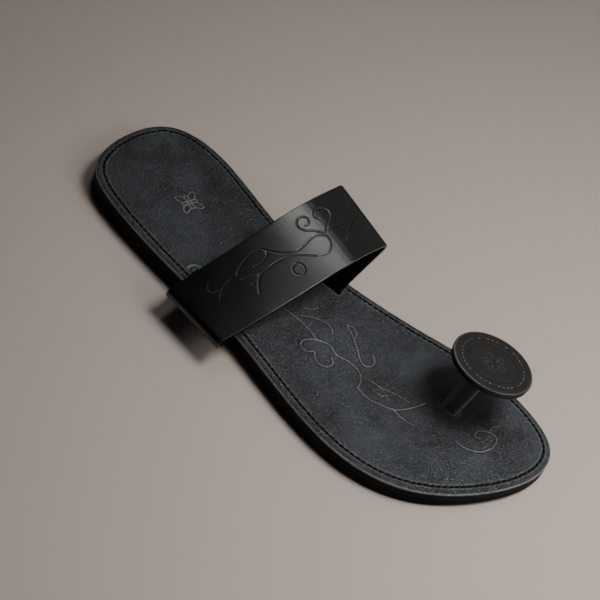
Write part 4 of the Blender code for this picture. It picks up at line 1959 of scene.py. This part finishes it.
@dataclass(frozen=True)
class Studio:
    """The plain pale floor, the soft lights and the camera."""

    camera_place: tuple[float, float, float] = (0.5783, 0.2430, 0.6971)
    camera_aim: tuple[float, float, float] = (-0.0051, -0.0070, 0.0120)
    camera_roll: float = math.radians(23.24)
    lens: float = 116.75
    floor_colour: tuple[float, float, float] = (0.485, 0.418, 0.370)
    floor_size: float = 6.0
    light_colour: tuple[float, float, float] = (1.0, 0.985, 0.97)
    room_colour: tuple[float, float, float] = (1.0, 0.98, 0.96)
    room_glow: float = 0.006

    def floor(self) -> None:
        """Lay the floor."""
        half = self.floor_size / 2.0
        corners = np.array([(-half, -half, 0.0), (half, -half, 0.0), (half, half, 0.0), (-half, half, 0.0)])
        floor = make_mesh("studio_floor", corners, [(0, 1, 2, 3)], {})
        paint = bpy.data.materials.new("floor_paint")
        paint.use_nodes = True
        shader = paint.node_tree.nodes["Principled BSDF"]
        shader.inputs["Base Color"].default_value = (*self.floor_colour, 1.0)
        shader.inputs["Roughness"].default_value = 0.85
        shader.inputs["Specular IOR Level"].default_value = 0.2
        floor.data.materials.append(paint)

    def lights(self) -> None:
        """Hang the soft lights, and set the room's own dim light."""
        for softbox in SOFTBOXES:
            softbox.hang(self.light_colour)
        world = bpy.data.worlds.new("room")
        world.use_nodes = True
        background = world.node_tree.nodes["Background"]
        background.inputs["Color"].default_value = (*self.room_colour, 1.0)
        background.inputs["Strength"].default_value = self.room_glow
        bpy.context.scene.world = world

    def camera(self) -> None:
        """Set the camera at the photograph's angle to the shoe."""
        data = bpy.data.cameras.new("photo_camera")
        data.sensor_width = 36.0
        data.lens = self.lens
        data.clip_start, data.clip_end = 0.01, 20.0
        thing = bpy.data.objects.new("photo_camera", data)
        place, aim = Vector(self.camera_place), Vector(self.camera_aim)
        turn = (aim - place).to_track_quat("-Z", "Y").to_matrix()
        roll = Matrix.Rotation(self.camera_roll, 3, "Z")
        thing.matrix_world = Matrix.Translation(place) @ (turn @ roll).to_4x4()
        bpy.context.collection.objects.link(thing)
        bpy.context.scene.camera = thing


# Pressed lines of the strap's face: millimetres along the band from the outer fold, and across it
# from the rear edge.
STRAP_STROKES = [
    # two scrolls that meet as a heart, and the drop below them
    Stroke(((72.4, 10.0), (74.5, 9.9), (75.7, 7.8), (74.1, 5.5), (71.2, 5.3), (69.1, 8.1), (70.3, 11.5),
            (74.5, 14.3), (77.6, 18.0), (78.3, 21.8), (76.7, 25.1), (73.4, 26.8), (70.1, 26.4))),
    Stroke(((80.3, 10.5), (79.1, 8.3), (81.1, 6.1), (84.7, 6.3), (86.9, 8.7), (85.5, 12.3), (81.5, 15.4),
            (77.9, 18.8))),
    # the stem, and the leaf that it ends in
    Stroke(((77.3, 18.8), (74.1, 16.7), (71.0, 16.7), (65.2, 17.8), (60.4, 17.8), (55.5, 15.8),
            (51.9, 12.8), (49.8, 10.4), (47.5, 7.7), (44.6, 7.0))),
    Stroke(((47.5, 7.7), (43.4, 7.0), (38.6, 8.1), (33.6, 10.3), (30.4, 12.5)), 0.30, 0.07),
    Stroke(((49.5, 10.2), (47.5, 12.4), (43.6, 13.7), (39.6, 13.3)), 0.30, 0.11),
    # the lower stem and its shoots
    Stroke(((67.4, 25.2), (60.7, 20.7), (55.6, 18.1), (50.4, 17.3), (45.8, 17.3))),
    Stroke(((45.8, 17.3), (40.6, 17.7), (35.3, 16.0), (31.4, 15.5)), 0.30, 0.07),
    Stroke(((41.2, 17.6), (37.4, 19.5), (33.4, 20.0)), 0.30, 0.07),
    Stroke(((39.4, 17.5), (35.8, 21.5), (33.0, 25.7)), 0.30, 0.07),
    Stroke(((27.6, 12.3), (23.6, 13.3), (19.4, 15.3), (16.2, 18.5)), 0.30, 0.03),
    Stroke(((17.6, 8.5), (15.4, 10.9), (16.2, 13.7), (18.8, 13.9)), 0.30, 0.03),
    ring_stroke(56.2, 25.9, 3.0, 0.32, 0.14),
    # the shoots near the inner fold
    Stroke(((102.4, 10.3), (101.3, 14.3), (98.5, 17.5), (93.5, 19.9), (88.3, 22.7), (84.8, 26.0))),
    Stroke(((97.1, 18.3), (90.7, 18.0), (84.6, 17.0), (80.4, 17.1)), 0.30, 0.11),
    Stroke(((102.5, 6.1), (99.9, 8.1), (98.7, 11.5), (100.5, 14.3), (103.1, 13.1)), 0.30, 0.11),
    Stroke(((96.9, 24.1), (98.9, 26.3), (98.1, 29.2), (95.1, 30.2), (92.9, 28.7), (93.7, 26.8),
            (95.5, 27.6)), 0.30, 0.11),
]

# Raised lines of the footbed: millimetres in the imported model's frame, and a small rosette at the heel.
FOOTBED_STROKES = [
    Stroke(((6.6, -16.0), (5.0, -6.0), (4.4, 3.2), (5.3, 9.9), (6.4, 14.2), (5.0, 16.6), (3.7, 20.3),
            (5.4, 26.3), (3.7, 31.8), (3.9, 38.3), (7.2, 43.0), (12.1, 45.1)), 0.35, 0.24),
    Stroke(((1.6, -0.6), (-2.6, 4.2), (-5.2, 9.6), (-4.8, 14.2), (-2.2, 16.8)), 0.33, 0.22),
    Stroke(((-3.6, -2.6), (-5.8, 0.4), (-9.2, 1.6)), 0.30, 0.16),
    Stroke(((5.2, 15.8), (8.2, 12.2), (12.2, 10.0), (15.6, 11.4), (15.9, 15.2), (12.6, 17.8)), 0.35, 0.24),
    Stroke(((12.6, 17.8), (15.4, 20.6), (16.6, 24.2), (14.6, 27.8), (11.0, 28.2), (8.6, 25.4)), 0.35, 0.24),
    Stroke(((12.1, 45.1), (12.9, 50.5), (11.6, 55.8), (7.4, 64.4), (-0.5, 69.1), (-8.1, 71.5)), 0.35, 0.24),
    Stroke(((5.2, 40.8), (3.6, 46.8), (2.6, 52.4), (-0.6, 59.8), (-1.6, 66.2)), 0.33, 0.22),
    Stroke(((7.0, 50.2), (6.4, 55.0), (4.2, 56.6), (5.6, 59.0)), 0.28, 0.14),
    Stroke(((-12.8, 17.2), (-9.8, 23.6), (-6.4, 29.0), (-2.4, 34.4), (-0.8, 38.2), (-3.0, 40.9),
            (-6.8, 40.4), (-9.4, 37.0)), 0.33, 0.22),
    Stroke(((-12.8, 17.2), (-14.2, 20.6), (-12.6, 23.8), (-10.0, 25.2)), 0.30, 0.16),
    Stroke(((7.7, 63.4), (8.3, 69.7), (6.9, 76.4)), 0.38, 0.20),
    Stroke(((-2.8, 94.6), (-3.6, 100.4), (-8.0, 106.4), (-15.6, 108.6), (-20.8, 106.4), (-20.4, 101.8),
            (-16.8, 98.2), (-12.8, 99.0), (-13.6, 101.6)), 0.35, 0.24),
    Stroke(((-20.6, 102.4), (-24.2, 101.6), (-28.2, 103.8)), 0.30, 0.16),
    # the lifted rim behind the outer slit and a nick of use, both with a painted highlight on top
    Stroke(((30.2, -52.6), (26.2, -53.9), (22.4, -53.2), (20.6, -50.6)), 0.70, 0.42),
    Stroke(((0.0, -55.0), (1.3, -54.3)), 0.36, 0.24),
    *(petal_stroke(-5.6, -82.0, 0.5 + math.pi / 2.0 * k, 7.6, 0.36) for k in range(4)),
    *(petal_stroke(-5.6, -82.0, 0.5 + math.pi / 4.0 + math.pi / 2.0 * k, 4.6, 0.32) for k in range(4)),
]

# Small dents of use in the footbed, in the same frame, with painted shade in their bottoms.
FOOTBED_NICKS = [
    Stroke(((2.4, 84.0), (1.3, 85.6), (1.0, 87.4)), 0.50, 0.20),
    Stroke(((-6.4, 87.6), (-7.6, 89.4)), 0.45, 0.18),
    Stroke(((9.2, -66.0), (8.1, -64.6)), 0.35, 0.12),
]

# Pressed lines of the knob's face: millimetres around its middle.
DISC_STROKES = [petal_stroke(0.0, 0.0, 0.4 + 2.0 * math.pi * k / 5, 5.6, 0.40) for k in range(5)]


def dress(piece: bpy.types.Object, material: bpy.types.Material, slot: str, *nodes: str) -> None:
    """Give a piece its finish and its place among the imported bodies.

    Args:
        piece: The finished piece.
        material: Its finish.
        slot: The record's material slot for the piece; it is not used.
        *nodes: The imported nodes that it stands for.
    """
    piece.data.materials.clear()
    piece.data.materials.append(material)
    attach(piece, BODY)
    if nodes:
        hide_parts(*nodes)
    LOG.info("%s: %d faces", piece.name, len(piece.data.polygons))


def main() -> None:
    """Build and dress the sandal, then the studio."""
    logging.basicConfig(level=logging.INFO, format="%(name)s: %(message)s")
    for old in list(bpy.data.objects):
        bpy.data.objects.remove(old, do_unlink=True)
    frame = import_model()
    effects = EffectLibrary()
    made = {finish: finish.material(effects) for finish in FINISHES}

    sole = SoleShape()
    strap = InstepStrap(sole, STRAP_STROKES)
    knob = ToeKnob(sole)
    upright = Vector((0.0, 0.0, 0.0))
    leans = [upright, upright, Vector((knob.lean.x, knob.lean.y, knob.base.z))]
    bed = Footbed(sole, [*strap.slits(), knob.slot()], leans, FOOTBED_STROKES, FOOTBED_NICKS)
    footbed = bed.build()
    dress(footbed, made[FOOTBED_LEATHER], "insole_leather", "insole")
    bed.burnish_wall(footbed, made[WALL_LEATHER])
    dress(Outsole(sole).build(), made[SOLE_LEATHER], "outsole_leather", "outsole")
    dress(strap.build(), made[STRAP_LEATHER], "strap_leather", "instep_strap")
    dress(knob.strip(), made[STRIP_LEATHER_PAINTED_LIT], "strap_leather", "toe_post")
    dress(knob.disc(DISC_STROKES), made[KNOB_LEATHER], "disc_leather", "toe_disc")

    seams = Seams(bed, knob)
    dress(seams.seam(made[THREAD]), made[THREAD], "insole_leather")
    dress(seams.specks(made[PALE_THREAD]), made[PALE_THREAD], "insole_leather")
    dress(seams.ring(made[PALE_THREAD]), made[PALE_THREAD], "disc_leather")

    backing = frame["nodes"]["toe_disc_backing"]
    backing.data.materials.clear()
    backing.data.materials.append(made[KNOB_LEATHER])

    studio = Studio()
    studio.floor()
    studio.lights()
    studio.camera()


if __name__ == "__main__":
    main()
